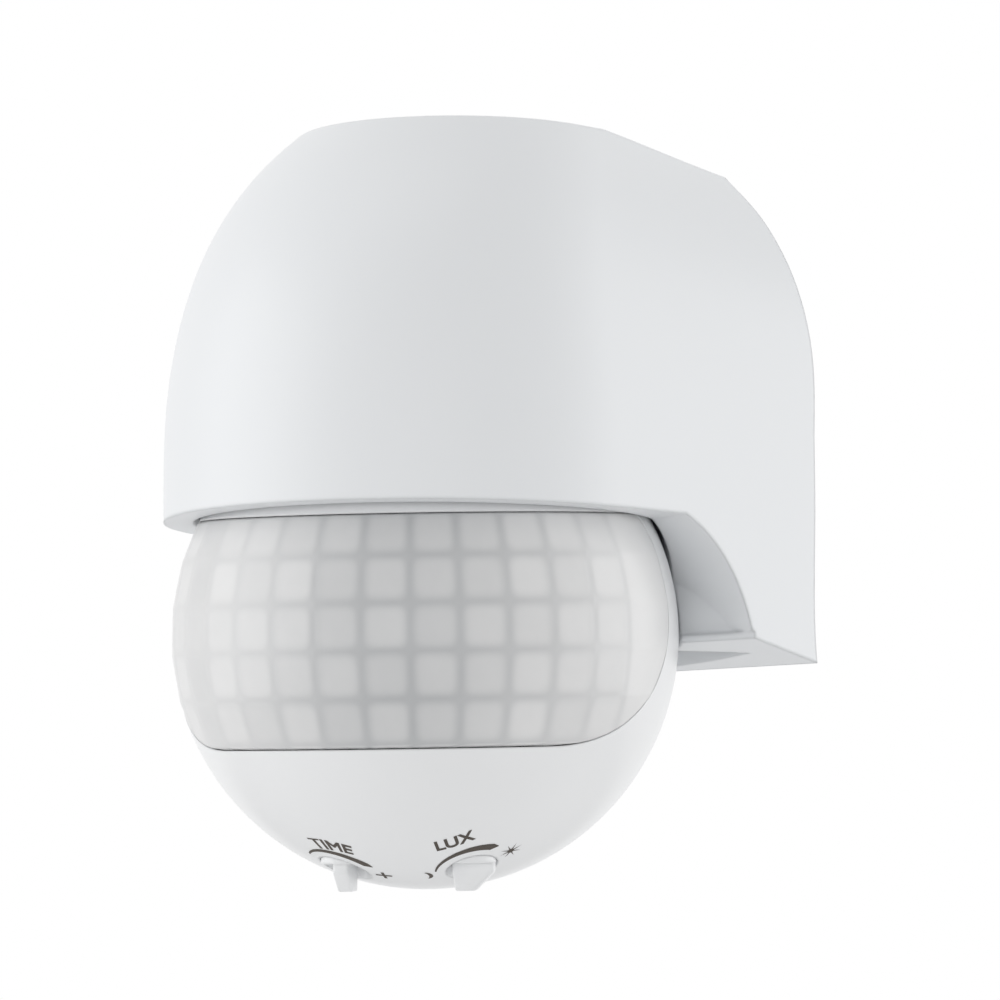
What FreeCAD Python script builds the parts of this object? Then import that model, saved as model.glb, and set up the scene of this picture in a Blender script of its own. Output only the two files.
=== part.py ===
import FreeCAD, Part
import math
import os

import Sketcher
from FreeCAD import Vector

# Wall-mounted motion detector with a swivelling ball head. Millimetres.
# The part's origin is the middle of the two wall slots on the back of the wall plate.
# +Z is up, +Y points into the wall and the ball head looks towards -Y.
# Every piece is drawn about the centre of the ball, then seated from there by its placement.

SIZES = {
    # Ball head and where its centre lies from the middle of the wall slots
    "ball_radius": 34.0,
    "ball_reach": 36.5,
    "ball_drop": 30.0,
    "head_turn": 26.4,
    "head_nod": 4.0,
    "socket_gap": 0.6,
    # Hood, heights measured up from the centre of the ball
    "hood_radius": 35.2,
    "hood_wall": 2.0,
    "rim_height": 15.0,
    "lean_start": 23.0,
    "lean_early": 0.88,
    "setback_early": 0.32,
    "roof_height": 68.0,
    "roof_radius": 21.4,
    "roof_setback": 6.5,
    "roof_fold": 12.0,
    "roof_back_drop": 3.8,
    "roof_edge_radius": 1.0,
    "wall_half_width": 38.0,
    "roof_back_half": 22.2,
    "scoop_radius": 22.9,
    "scoop_drop": 6.2,
    "scoop_side": 1.4,
    "scoop_splay": 0.364,
    "scoop_back": 25.2,
    "sill_depth": 12.2,
    "sill_rise": 2.7,
    "sill_lip": 1.0,
    "base_drop": 3.5,
    "base_opening_half": 31.5,
    "base_opening_margin": 1.1,
    # Wall plate
    "plate_thickness": 2.0,
    "plate_gap": 0.3,
    "plate_rib_height": 5.0,
    "plate_rib_wall": 1.6,
    "slot_spacing": 54.0,
    "slot_radius": 2.3,
    "slot_length": 6.0,
    "entry_radius": 7.0,
    "entry_height": 41.0,
    "grommet_lip": 1.6,
    "grommet_lip_height": 1.4,
    "grommet_cone_height": 3.0,
    "grommet_hole": 2.0,
    "flange_height": 1.9,
    "flange_thickness": 1.8,
    "flange_half_width": 34.0,
    "flange_depth": 9.0,
    # Bearing plate that carries the ball head inside the hood
    "bearing_height": 36.0,
    "bearing_thickness": 2.0,
    "bearing_bore": 12.0,
    "bearing_back": 28.5,
    "shelf_gap": 0.3,
    "post_width": 8.0,
    "post_height": 8.0,
    "post_inset": 9.2,
    "post_front": 8.0,
    "post_back": 24.0,
    "rail_width": 1.8,
    "rail_height": 10.0,
    "rail_depth": 5.2,
    # Swivel yoke
    "turn_gap": 0.1,
    "yoke_radius": 16.5,
    "yoke_thickness": 2.4,
    "neck_clearance": 0.05,
    "neck_wall": 2.0,
    "washer_thickness": 0.6,
    "keeper_thickness": 1.8,
    "keeper_width": 3.4,
    "arm_outer": 17.0,
    "arm_thickness": 3.0,
    "arm_half_depth": 5.0,
    "pin_radius": 1.6,
    "pin_clearance": 0.05,
    "pin_head_radius": 2.8,
    "pin_head_height": 1.2,
    "pin_reach": 5.5,
    # Ball shells
    "shell_wall": 1.6,
    "split_back": 11.0,
    "back_flat": 28.0,
    "crown_height": 26.0,
    "crown_slot_half_x": 19.0,
    "crown_slot_half_y": 16.5,
    "crown_slot_floor": 20.0,
    "window_top": 15.7,
    "window_bottom": 14.9,
    "window_back": 2.0,
    "window_top_corner": 3.0,
    "window_low_corner": 19.0,
    "boss_radius": 4.5,
    "boss_gap": 0.3,
    "web_depth": 9.0,
    "web_thickness": 2.4,
    "shell_screw_x": 25.0,
    "shell_screw_z": 12.5,
    "shell_boss_radius": 3.4,
    "shell_boss_front": 3.0,
    "shell_sleeve_radius": 3.7,
    "shell_sleeve_length": 1.6,
    # Lens
    "lens_inset": 0.15,
    "lens_thickness": 1.85,
    "lens_gap": 0.1,
    "lens_flange": 1.0,
    "lens_flange_wall": 0.7,
    "facet_columns": 16,
    "facet_rows": 5,
    "facet_span": 88.0,
    # Boards and parts inside the ball
    "board_thickness": 1.6,
    "sensor_board_front": 4.0,
    "sensor_board_half": 12.0,
    "sensor_board_top": 13.0,
    "pyro_radius": 4.6,
    "pyro_height": 4.2,
    "pyro_flange": 0.7,
    "cell_radius": 2.5,
    "cell_height": 2.0,
    "cell_drop": 11.0,
    "board_post_x": 9.0,
    "board_post_z": 9.0,
    "board_post_radius": 2.3,
    "control_board_half": 14.0,
    "control_board_front": 15.5,
    "control_board_back": 10.5,
    "control_board_drop": 17.0,
    "control_post_x": 11.5,
    "control_post_y": 8.3,
    # Adjusters under the ball
    "knob_x": 8.6,
    "knob_front": 11.0,
    "knob_disc_radius": 3.3,
    "knob_hole_gap": 0.15,
    "knob_end_drop": 34.7,
    "blade_height": 4.1,
    "knob_disc_height": 2.0,
    "blade_width": 2.0,
    "blade_nose": 3.1,
    "blade_nose_slope": 2.4,
    "blade_nose_height": 1.8,
    "blade_tail": 2.5,
    "blade_tail_draft": 0.8,
    "time_setting": 0.0,
    "lux_setting": 95.0,
    "stem_radius": 1.5,
    "stem_clearance": 0.05,
    "stem_depth": 2.4,
    "control_width": 6.8,
    "control_height": 4.2,
    # Power electronics in the hood
    "power_board_front": 16.0,
    "power_board_half": 20.0,
    "power_board_gap": 2.7,
    "part_base": 4.0,
    "relay_width": 15.5,
    "relay_height": 14.0,
    "relay_depth": 11.0,
    "filter_width": 15.0,
    "filter_height": 8.0,
    "filter_depth": 7.5,
    "part_spacing": 2.5,
    "can_radius": 4.0,
    "can_length": 12.0,
    "terminal_half_width": 12.0,
    "terminal_height": 9.0,
    "terminal_depth": 11.0,
    "terminal_low": 50.8,
    "terminal_pitch": 8.0,
    "terminal_screw_radius": 2.0,
    "terminal_screw_height": 2.0,
    "terminal_recess": 3.5,
    "terminal_wire_radius": 1.7,
    # Screws
    "screw_radius": 1.4,
    "screw_clearance": 0.1,
    "screw_length": 8.0,
    "screw_head_radius": 2.5,
    "screw_head_height": 1.5,
    "board_screw_length": 5.0,
    "board_screw_head_height": 1.1,
}

doc = FreeCAD.newDocument("motion_detector")
sheet = doc.addObject("Spreadsheet::Sheet", "sizes")


class Size:
    """A size that knows its number and the text that binds it to the sheet."""

    def __init__(self, value, text):
        self.value = float(value)
        self.text = text

    def __add__(self, other):
        return combine(self, "+", other, self.value + number(other))

    def __radd__(self, other):
        return combine(other, "+", self, number(other) + self.value)

    def __sub__(self, other):
        return combine(self, "-", other, self.value - number(other))

    def __rsub__(self, other):
        return combine(other, "-", self, number(other) - self.value)

    def __mul__(self, other):
        return combine(self, "*", other, self.value * number(other))

    def __rmul__(self, other):
        return combine(other, "*", self, number(other) * self.value)

    def __truediv__(self, other):
        return combine(self, "/", other, self.value / number(other))

    def __neg__(self):
        return Size(-self.value, f"(0 - {self.text})")


def number(size):
    """The plain number of a size or of a constant."""
    return size.value if isinstance(size, Size) else float(size)


def words(size):
    """The sheet text of a size or of a constant."""
    return size.text if isinstance(size, Size) else f"{float(size)}"


def combine(left, sign, right, value):
    """The size made by two sizes and a sign."""
    return Size(value, f"({words(left)} {sign} {words(right)})")


def root(size):
    """The square root of a size."""
    return Size(math.sqrt(number(size)), f"sqrt({words(size)})")


def leg(long_side, short_side):
    """The other short side of a right triangle."""
    return root(long_side * long_side - short_side * short_side)


def fill_sheet():
    """Write every driving size into the sheet and return the sizes by name."""
    sizes = {}
    for row, (alias, value) in enumerate(SIZES.items(), start=1):
        sheet.set(f"A{row}", alias)
        sheet.set(f"B{row}", str(value))
        sheet.setAlias(f"B{row}", alias)
        sizes[alias] = Size(value, f"sizes.{alias}")
    doc.recompute()
    return sizes


S = fill_sheet()


# How far a cutting form reaches, as a share of what it cuts, and a small length for telling edges
BEYOND = 1.2
SLACK = 0.1
RIGHT_ANGLE = 90


def bind(thing, path, size):
    """Tie one property of an object to the sheet."""
    thing.setExpression(path, words(size))


# Frames in which the pieces are seated
HOUSING = "housing"
YOKE = "yoke"
HEAD = "head"
SEATS = {
    HOUSING: "rotation(0; 0; 0)",
    YOKE: "rotation(sizes.head_turn; 0; 0)",
    HEAD: "rotation(sizes.head_turn; 0; sizes.head_nod)",
}
nodes = []


def seat(piece, frame, own=""):
    """Seat a finished piece in the part's frame, after its own placement if any, and list it."""
    centre = "vector(0; -sizes.ball_reach; -sizes.ball_drop)"
    piece.setExpression("Placement", f"placement({centre}; {SEATS[frame]}){own}")
    nodes.append(piece)
    return piece


def new_body(label):
    """An empty body with its label."""
    body = doc.addObject("PartDesign::Body", label)
    body.Label = label
    return body


def new_sketch(body, name, role, lift=None):
    """A sketch on one of the body's own origin planes, raised by lift along its normal."""
    sketch = body.newObject("Sketcher::SketchObject", name)
    plane = [item for item in body.Origin.OriginFeatures if item.Role == role][0]
    sketch.AttachmentSupport = [(plane, "")]
    sketch.MapMode = "FlatFace"
    if lift is not None:
        bind(sketch, "AttachmentOffset.Base.z", lift)
    return sketch


def pin_point(sketch, edge, end, x=None, y=None):
    """Hold one point of a sketch at its distances from the origin."""
    for kind, size in (("DistanceX", x), ("DistanceY", y)):
        if size is None:
            continue
        index = sketch.addConstraint(Sketcher.Constraint(kind, -1, 1, edge, end, number(size)))
        bind(sketch, f"Constraints[{index}]", size)


def add_circle(sketch, x, y, radius):
    """A circle with its centre and radius bound to the sheet."""
    circle = Part.Circle(Vector(number(x), number(y), 0), Vector(0, 0, 1), number(radius))
    edge = sketch.addGeometry(circle, False)
    pin_point(sketch, edge, 3, x, y)
    index = sketch.addConstraint(Sketcher.Constraint("Radius", edge, number(radius)))
    bind(sketch, f"Constraints[{index}]", radius)


def add_outline(sketch, corners):
    """A closed outline of straight edges through the corners, each given as (x, y)."""
    points = [Vector(number(x), number(y), 0) for x, y in corners]
    count = len(points)
    first = sketch.GeometryCount
    for index in range(count):
        sketch.addGeometry(Part.LineSegment(points[index], points[(index + 1) % count]), False)
    for index in range(count):
        after = first + (index + 1) % count
        sketch.addConstraint(Sketcher.Constraint("Coincident", first + index, 2, after, 1))
    for index, (x, y) in enumerate(corners):
        pin_point(sketch, first + index, 1, x, y)


def add_rectangle(sketch, low_x, low_y, high_x, high_y):
    """A rectangle between two corners."""
    add_outline(sketch, [(low_x, low_y), (high_x, low_y), (high_x, high_y), (low_x, high_y)])


def pad(body, name, sketch, length, both_ways=False, reverse=False):
    """Pad a sketch by a bound length."""
    feature = body.newObject("PartDesign::Pad", name)
    feature.Profile = sketch
    bind(feature, "Length", length)
    feature.SideType = "Symmetric" if both_ways else "One side"
    feature.Reversed = reverse
    doc.recompute()
    return feature


def pocket(body, name, sketch, length, both_ways=False, reverse=False):
    """Pocket a sketch by a bound length and make sure that it cut something."""
    before = body.Shape.Volume
    feature = body.newObject("PartDesign::Pocket", name)
    feature.Profile = sketch
    bind(feature, "Length", length)
    feature.SideType = "Symmetric" if both_ways else "One side"
    feature.Reversed = reverse
    doc.recompute()
    if body.Shape.Volume >= before:
        raise RuntimeError(f"{name} in {body.Label} cuts nothing")
    return feature


def fillet_edges(body, name, radius, wanted):
    """Round the edges of a body that the test picks."""
    base = body.Tip
    picked = [f"Edge{i}" for i, edge in enumerate(base.Shape.Edges, start=1) if wanted(edge)]
    if not picked:
        raise RuntimeError(f"{name} in {body.Label} finds no edge")
    feature = body.newObject("PartDesign::Fillet", name)
    feature.Base = (base, picked)
    bind(feature, "Radius", radius)
    doc.recompute()
    return feature


def tool(kind, name, **sizes):
    """A primitive solid with its properties bound to the sheet."""
    solid = doc.addObject(kind, name)
    for path, size in sizes.items():
        bind(solid, path, size)
    return solid


def spot(solid, x=0, y=0, z=0, turn=None):
    """Put a primitive in place, turned by an axis and an angle when given."""
    if turn is not None:
        solid.Placement = FreeCAD.Placement(Vector(), FreeCAD.Rotation(*turn))
    bind(solid, "Placement.Base.x", x)
    bind(solid, "Placement.Base.y", y)
    bind(solid, "Placement.Base.z", z)
    return solid


def block(name, low, high):
    """A box between two corners."""
    spans = [high[axis] - low[axis] for axis in range(3)]
    solid = tool("Part::Box", name, Length=spans[0], Width=spans[1], Height=spans[2])
    return spot(solid, *low)


ALONG_X = (Vector(0, 1, 0), RIGHT_ANGLE)
ALONG_Y = (Vector(1, 0, 0), -RIGHT_ANGLE)


def rod(name, radius, length, start, turn=None):
    """A cylinder from its start point, along +Z or as turned."""
    solid = tool("Part::Cylinder", name, Radius=radius, Height=length)
    return spot(solid, *start, turn=turn)


def ball(name, radius):
    """A whole ball about the centre of the head."""
    return tool("Part::Sphere", name, Radius=radius)


def join(name, pieces):
    """One solid from several pieces."""
    if len(pieces) == 1:
        return pieces[0]
    result = doc.addObject("Part::MultiFuse", name)
    result.Shapes = pieces
    result.Refine = True
    return result


def cut(name, base, tools):
    """A solid less its tools."""
    result = doc.addObject("Part::Cut", name)
    result.Base = base
    result.Tool = join(f"{name}_tools", tools)
    result.Refine = True
    return result


def common(name, first, second):
    """What two solids share."""
    result = doc.addObject("Part::Common", name)
    result.Base = first
    result.Tool = second
    result.Refine = True
    return result


def group(name, solids):
    """Several separate solids as one node."""
    result = doc.addObject("Part::Compound", name)
    result.Links = solids
    return result


# The hood is a helmet: its plan at every level is a round nose with two sides that run back to
# the wall. The nose keeps its radius up to lean_start, then shrinks and leans back to the roof.

WALL = S["ball_reach"]
LEAN_HEIGHT = S["roof_height"] - S["lean_start"]
ROOF_SHARE = S["roof_radius"] / S["hood_radius"]


def lean_share(level):
    """How far a level is up the leaning part of the hood, from 0 to 1."""
    if number(level) <= number(S["lean_start"]):
        return Size(0, "0")
    return (level - S["lean_start"]) / LEAN_HEIGHT


def nose_radius(level):
    """Radius of the nose in plan: it shrinks slowly at first and fast near the roof."""
    square = lean_share(level) * lean_share(level)
    blend = square * S["lean_early"] + square * square * (1 - S["lean_early"])
    return S["hood_radius"] * root(1 - blend * (1 - ROOF_SHARE * ROOF_SHARE))


def nose_centre(level):
    """How far the centre of the nose lies behind the axis of the ball."""
    square = lean_share(level) * lean_share(level)
    return S["roof_setback"] * (square * S["setback_early"] + square * square * (1 - S["setback_early"]))


# The wall end of the hood is a round arch, cut flat where the roof meets the wall
ROOF_BACK = S["roof_height"] - S["roof_back_drop"]
ARCH_HEIGHT = ROOF_BACK - leg(S["wall_half_width"], S["roof_back_half"])


def wall_half(level):
    """Half the width of the hood at the wall."""
    if number(level) <= number(ARCH_HEIGHT):
        return S["wall_half_width"] + 0
    if number(level) >= number(ROOF_BACK):
        return S["roof_back_half"] + 0
    return leg(S["wall_half_width"], level - ARCH_HEIGHT)


def plan_sketch(body, name, level, inset):
    """Plan of the hood at one level, moved inwards by inset."""
    sketch = new_sketch(body, name, "XY_Plane", lift=level)
    radius = nose_radius(level) - inset
    centre = nose_centre(level)
    half = wall_half(level) - inset
    depth = number(WALL - centre)
    tangent = math.atan2(depth, number(half)) - math.acos(number(radius) / math.hypot(depth, number(half)))
    middle = Vector(0, number(centre), 0)
    right = middle + Vector(math.cos(tangent), math.sin(tangent), 0) * number(radius)
    left = Vector(-right.x, right.y, 0)
    back_right = Vector(number(half), number(WALL), 0)
    back_left = Vector(-number(half), number(WALL), 0)
    circle = Part.Circle(middle, Vector(0, 0, 1), number(radius))
    sketch.addGeometry(Part.ArcOfCircle(circle, math.pi - tangent, 2 * math.pi + tangent), False)
    sketch.addGeometry(Part.LineSegment(right, back_right), False)
    sketch.addGeometry(Part.LineSegment(back_right, back_left), False)
    sketch.addGeometry(Part.LineSegment(back_left, left), False)
    sketch.addConstraint(Sketcher.Constraint("Tangent", 0, 2, 1, 1))
    sketch.addConstraint(Sketcher.Constraint("Coincident", 1, 2, 2, 1))
    sketch.addConstraint(Sketcher.Constraint("Coincident", 2, 2, 3, 1))
    sketch.addConstraint(Sketcher.Constraint("Tangent", 3, 2, 0, 1))
    pin_point(sketch, 0, 3, Size(0, "0"), centre)
    pin_point(sketch, 1, 2, half, WALL)
    pin_point(sketch, 2, 2, -half, WALL)
    index = sketch.addConstraint(Sketcher.Constraint("Radius", 0, number(radius)))
    bind(sketch, f"Constraints[{index}]", radius)
    return sketch


STRAIGHT_LEVELS = (-1.0, 0.0, 0.6, 1.0)
LEAN_LEVELS = (0.16, 0.32, 0.46, 0.6, 0.72, 0.84, 0.93, 1.0)


def hood_levels(top):
    """Levels of the plans, from below the base up to top."""
    low = [S["lean_start"] * share for share in STRAIGHT_LEVELS]
    return low + [S["lean_start"] + (top - S["lean_start"]) * share for share in LEAN_LEVELS]


def trim_side(body, name, inset):
    """Cut the underside with its sill, and the slope of the roof, both seen from the side."""
    side = S["wall_half_width"] * 2 * BEYOND
    front = -S["hood_radius"] * BEYOND
    back = WALL * BEYOND
    bottom = -S["lean_start"] * BEYOND
    sill_front = WALL - S["sill_depth"] + inset
    sill_top = -S["base_drop"] + S["sill_rise"] + inset
    lip_top = sill_top + S["sill_lip"]
    sill_slope = S["sill_rise"] / S["sill_depth"]
    under = new_sketch(body, f"{name}_under", "YZ_Plane")
    add_outline(under, [
        (front, bottom),
        (back, bottom),
        (back, -S["base_drop"] + inset - sill_slope * (back - WALL)),
        (sill_front, sill_top),
        (sill_front, lip_top),
        (front, lip_top),
    ])
    pocket(body, f"{name}_under_cut", under, side, both_ways=True)
    roof = new_sketch(body, f"{name}_roof", "YZ_Plane")
    roof_top = S["roof_height"] - inset
    fold = S["roof_fold"] + 0
    slope = S["roof_back_drop"] / (WALL - fold)
    add_outline(roof, [
        (fold, roof_top),
        (back, roof_top - slope * (back - fold)),
        (back, roof_top * BEYOND),
        (fold, roof_top * BEYOND),
    ])
    pocket(body, f"{name}_roof_cut", roof, side, both_ways=True)


def scoop_space(name, inset):
    """What is scooped out below the rim and behind the ball.

    Its rounded profile is swept outwards and forwards to both sides, and stops at scoop_back.
    """
    body = new_body(f"{name}_sweep")
    front = -S["hood_radius"] * BEYOND
    rim = S["rim_height"] + inset
    low = -S["base_drop"] + S["sill_rise"] + S["sill_lip"] + inset
    radius = S["scoop_radius"] + inset
    middle = S["scoop_side"] + S["wall_half_width"] * S["scoop_splay"]
    drop = S["scoop_drop"]
    high_y = middle + leg(radius, rim + drop)
    low_y = middle + leg(radius, low + drop)
    sketch = new_sketch(body, f"{name}_profile", "YZ_Plane")
    corners = [(low_y, low), (front, low), (front, rim), (high_y, rim)]
    points = [Vector(number(x), number(y), 0) for x, y in corners]
    for index in range(3):
        sketch.addGeometry(Part.LineSegment(points[index], points[index + 1]), False)
    centre = Vector(number(middle), -number(drop), 0)
    start, stop = points[0] - centre, points[3] - centre
    circle = Part.Circle(centre, Vector(0, 0, 1), number(radius))
    arc = Part.ArcOfCircle(circle, math.atan2(start.y, start.x), math.atan2(stop.y, stop.x))
    sketch.addGeometry(arc, False)
    for index in range(2):
        sketch.addConstraint(Sketcher.Constraint("Coincident", index, 2, index + 1, 1))
    sketch.addConstraint(Sketcher.Constraint("Coincident", 2, 2, 3, 2))
    sketch.addConstraint(Sketcher.Constraint("Coincident", 3, 1, 0, 1))
    pin_point(sketch, 0, 1, None, low)
    pin_point(sketch, 1, 1, front, low)
    pin_point(sketch, 2, 1, front, rim)
    pin_point(sketch, 2, 2, None, rim)
    pin_point(sketch, 3, 3, middle, -drop)
    index = sketch.addConstraint(Sketcher.Constraint("Radius", 3, number(radius)))
    bind(sketch, f"Constraints[{index}]", radius)
    right = pad(body, f"{name}_right", sketch, S["wall_half_width"] * BEYOND)
    right.UseCustomVector = True
    right.Direction = Vector(1, -number(S["scoop_splay"]), 0)
    bind(right, "Direction.y", -S["scoop_splay"])
    both = body.newObject("PartDesign::Mirrored", f"{name}_both")
    both.Originals = [right]
    plane = [item for item in body.Origin.OriginFeatures if item.Role == "YZ_Plane"][0]
    both.MirrorPlane = (plane, [""])
    body.Tip = both
    doc.recompute()
    wide = S["wall_half_width"] * BEYOND
    limit = block(f"{name}_limit", (-wide, front, low), (wide, S["scoop_back"] + inset, rim))
    return common(f"{name}_scoop", body, limit)


def helmet(label, inset):
    """A helmet without its scoop, moved inwards by inset on every side but the wall's."""
    body = new_body(label)
    top = S["roof_height"] - inset
    plans = [
        plan_sketch(body, f"{label}_plan{index}", level, inset)
        for index, level in enumerate(hood_levels(top))
    ]
    loft = body.newObject("PartDesign::AdditiveLoft", f"{label}_loft")
    loft.Profile = plans[0]
    loft.Sections = plans[1:]
    doc.recompute()
    trim_side(body, label, inset)
    return body


SIDES = (-1, 1)
NOTHING = Size(0, "0")


def socket_ball(name):
    """The ball-shaped space that the head turns in."""
    return ball(name, S["ball_radius"] + S["socket_gap"])


def roof_edge(edge):
    """True for the edges round the roof, apart from its fold and its back edge."""
    box = edge.BoundBox
    lowest = number(ROOF_BACK) - SLACK
    at_wall = box.YMin > number(WALL) - SLACK
    fold = box.YLength < SLACK and box.ZLength < SLACK
    return box.ZMin > lowest and not at_wall and not fold


def screw(name, base, length, head_height, axis):
    """A pan-head screw. Its shank runs from base along the axis and its head lies behind base."""
    x, y, z = base
    turns = {"front": (Vector(1, 0, 0), RIGHT_ANGLE), "down": (Vector(1, 0, 0), RIGHT_ANGLE * 2)}
    turn = turns.get(axis)
    back = {"up": (x, y, z - head_height), "front": (x, y + head_height, z), "down": (x, y, z + head_height)}
    shank = rod(f"{name}_shank", S["screw_radius"], length, base, turn)
    head = rod(f"{name}_head", S["screw_head_radius"], head_height, back[axis], turn)
    return join(name, [shank, head])


def post_places():
    """Where the bearing plate is screwed to the hood."""
    rows = (-S["post_front"], S["post_back"])
    reach = S["hood_radius"] - S["post_inset"]
    return [(reach * side, y) for side in SIDES for y in rows]


def make_hood():
    """The hood: a helmet-shaped shell with posts for the bearing plate and a socket for the ball."""
    whole = helmet("hood_form", NOTHING)
    fillet_edges(whole, "roof_edge", S["roof_edge_radius"], roof_edge)
    outside = cut("hood_outside", whole, [scoop_space("hood", NOTHING)])
    wall = S["hood_wall"] + 0
    hollow = cut("hood_inside", helmet("hood_hollow", wall), [scoop_space("hollow", wall)])
    shell = cut("hood_shell", outside, [hollow])
    low = S["bearing_height"] + S["bearing_thickness"]
    half = S["post_width"] / 2
    posts = []
    holes = []
    for index, (x, y) in enumerate(post_places()):
        side = 1 if number(x) > 0 else -1
        inner = x - half * side
        outer = (S["wall_half_width"] + S["post_inset"]) * side
        left, right = (inner, outer) if side > 0 else (outer, inner)
        posts.append(block(f"hood_post{index}", (left, y - half, low), (right, y + half, low + S["post_height"])))
        hole_length = S["post_height"] - S["hood_wall"]
        holes.append(rod(f"hood_post_hole{index}", S["screw_radius"], hole_length, (x, y, low)))
    inside_posts = common("hood_posts", join("hood_post_blocks", posts), outside)
    body = join("hood_body", [shell, inside_posts])
    return seat(cut("hood", body, [socket_ball("hood_socket"), base_opening()] + holes), HOUSING)


def base_opening():
    """The long pointed opening in the sloping underside, where two large arcs meet."""
    front = WALL - S["sill_depth"] + S["base_opening_margin"]
    back = WALL - S["base_opening_margin"]
    half_depth = (back - front) / 2
    middle = (front + back) / 2
    reach = S["base_opening_half"]
    radius = (reach * reach + half_depth * half_depth) / (half_depth * 2)
    low = -S["base_drop"] * 3
    height = S["base_drop"] * 3 + S["flange_height"] / 2
    front_arc = rod("opening_front_arc", radius, height, (0, front + radius, low))
    back_arc = rod("opening_back_arc", radius, height, (0, back - radius, low))
    return common("opening", front_arc, back_arc)


def arch_outline(body, name, inset):
    """The arch of the wall plate, moved inwards by inset."""
    sketch = new_sketch(body, name, "XZ_Plane", lift=-WALL)
    depth = S["plate_thickness"] + S["plate_rib_height"]
    flare = (S["wall_half_width"] - S["hood_radius"]) * depth / WALL
    radius = S["wall_half_width"] - S["hood_wall"] - S["plate_gap"] - flare - inset
    top = ROOF_BACK - S["hood_wall"] - S["plate_gap"] - inset
    floor_rise = S["sill_rise"] * depth / S["sill_depth"]
    foot = -S["base_drop"] + S["hood_wall"] + floor_rise + S["plate_gap"]
    rise = ARCH_HEIGHT
    corner = leg(radius, top - rise)
    angle = math.atan2(number(top - rise), number(corner))
    circle = Part.Circle(Vector(0, number(rise), 0), Vector(0, 0, 1), number(radius))
    points = [
        Vector(number(radius), number(foot), 0),
        Vector(number(radius), number(rise), 0),
        Vector(number(corner), number(top), 0),
        Vector(-number(corner), number(top), 0),
        Vector(-number(radius), number(rise), 0),
        Vector(-number(radius), number(foot), 0),
    ]
    first = sketch.addGeometry(Part.LineSegment(points[0], points[1]), False)
    sketch.addGeometry(Part.ArcOfCircle(circle, 0, angle), False)
    sketch.addGeometry(Part.LineSegment(points[2], points[3]), False)
    sketch.addGeometry(Part.ArcOfCircle(circle, math.pi - angle, math.pi), False)
    sketch.addGeometry(Part.LineSegment(points[4], points[5]), False)
    sketch.addGeometry(Part.LineSegment(points[5], points[0]), False)
    for step in range(6):
        after = first + (step + 1) % 6
        sketch.addConstraint(Sketcher.Constraint("Coincident", first + step, 2, after, 1))
    pin_point(sketch, first, 1, radius, foot)
    pin_point(sketch, first, 2, radius, rise)
    pin_point(sketch, first + 1, 3, NOTHING, rise)
    pin_point(sketch, first + 2, 1, None, top)
    pin_point(sketch, first + 3, 3, NOTHING, rise)
    pin_point(sketch, first + 2, 2, None, top)
    pin_point(sketch, first + 4, 1, -radius, rise)
    pin_point(sketch, first + 4, 2, -radius, foot)
    return sketch


def make_wall_plate():
    """The wall plate: an arch-shaped plate with a rim, two wall slots, a cable entry and a foot."""
    body = new_body("wall_plate_form")
    face = arch_outline(body, "plate_outline", NOTHING)
    depth = S["plate_thickness"] + S["plate_rib_height"]
    pad(body, "plate_block", face, depth)
    well = arch_outline(body, "plate_well", S["plate_rib_wall"] + 0)
    bind(well, "AttachmentOffset.Base.z", -(WALL - S["plate_thickness"]))
    doc.recompute()
    pocket(body, "plate_hollow", well, S["plate_rib_height"] * 2, reverse=True)
    front = WALL - S["flange_depth"]
    half = S["flange_half_width"]
    low = S["flange_height"] + 0
    flange = block("plate_flange", (-half, front, low), (half, WALL, low + S["flange_thickness"]))
    tools = [socket_ball("plate_socket")]
    start = WALL - depth
    for side in SIDES:
        tag = "left" if side < 0 else "right"
        reach = S["slot_length"] / 2 - S["slot_radius"]
        x = S["slot_spacing"] / 2 * side
        z = S["ball_drop"] + 0
        radius = S["slot_radius"]
        middle = block(f"slot_{tag}", (x - reach, start, z - radius), (x + reach, WALL + depth, z + radius))
        ends = [
            rod(f"slot_{tag}_end{end}", radius, depth * 2, (x + reach * end, start, z), ALONG_Y)
            for end in SIDES
        ]
        tools += [middle] + ends
    tools.append(rod("plate_entry", S["entry_radius"], depth * 2, (0, start, S["entry_height"]), ALONG_Y))
    return seat(cut("wall_plate", join("plate_with_foot", [body, flange]), tools), HOUSING)


def make_grommet():
    """The rubber grommet in the cable entry, with a lip on the inside and a cone to cut open."""
    inner = WALL - S["plate_thickness"]
    z = S["entry_height"] + 0
    plug = rod("grommet_plug", S["entry_radius"], S["plate_thickness"], (0, inner, z), ALONG_Y)
    lip_radius = S["entry_radius"] + S["grommet_lip"]
    lip_height = S["grommet_lip_height"]
    lip = rod("grommet_lip", lip_radius, lip_height, (0, inner - lip_height, z), ALONG_Y)
    cone = tool(
        "Part::Cone",
        "grommet_cone",
        Radius1=S["grommet_hole"] * 1.4,
        Radius2=S["entry_radius"],
        Height=S["grommet_cone_height"],
    )
    spot(cone, 0, inner - lip_height - S["grommet_cone_height"], z, turn=ALONG_Y)
    length = S["grommet_cone_height"] + lip_height + S["plate_thickness"]
    hole = rod("grommet_hole", S["grommet_hole"], length * 2, (0, WALL - length * 1.5, z), ALONG_Y)
    return seat(cut("cable_grommet", join("grommet_form", [plug, lip, cone]), [hole]), HOUSING)


def terminal_places():
    """Middle of each way of the terminal block."""
    return [S["terminal_pitch"] * way for way in (-1, 0, 1)]


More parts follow.
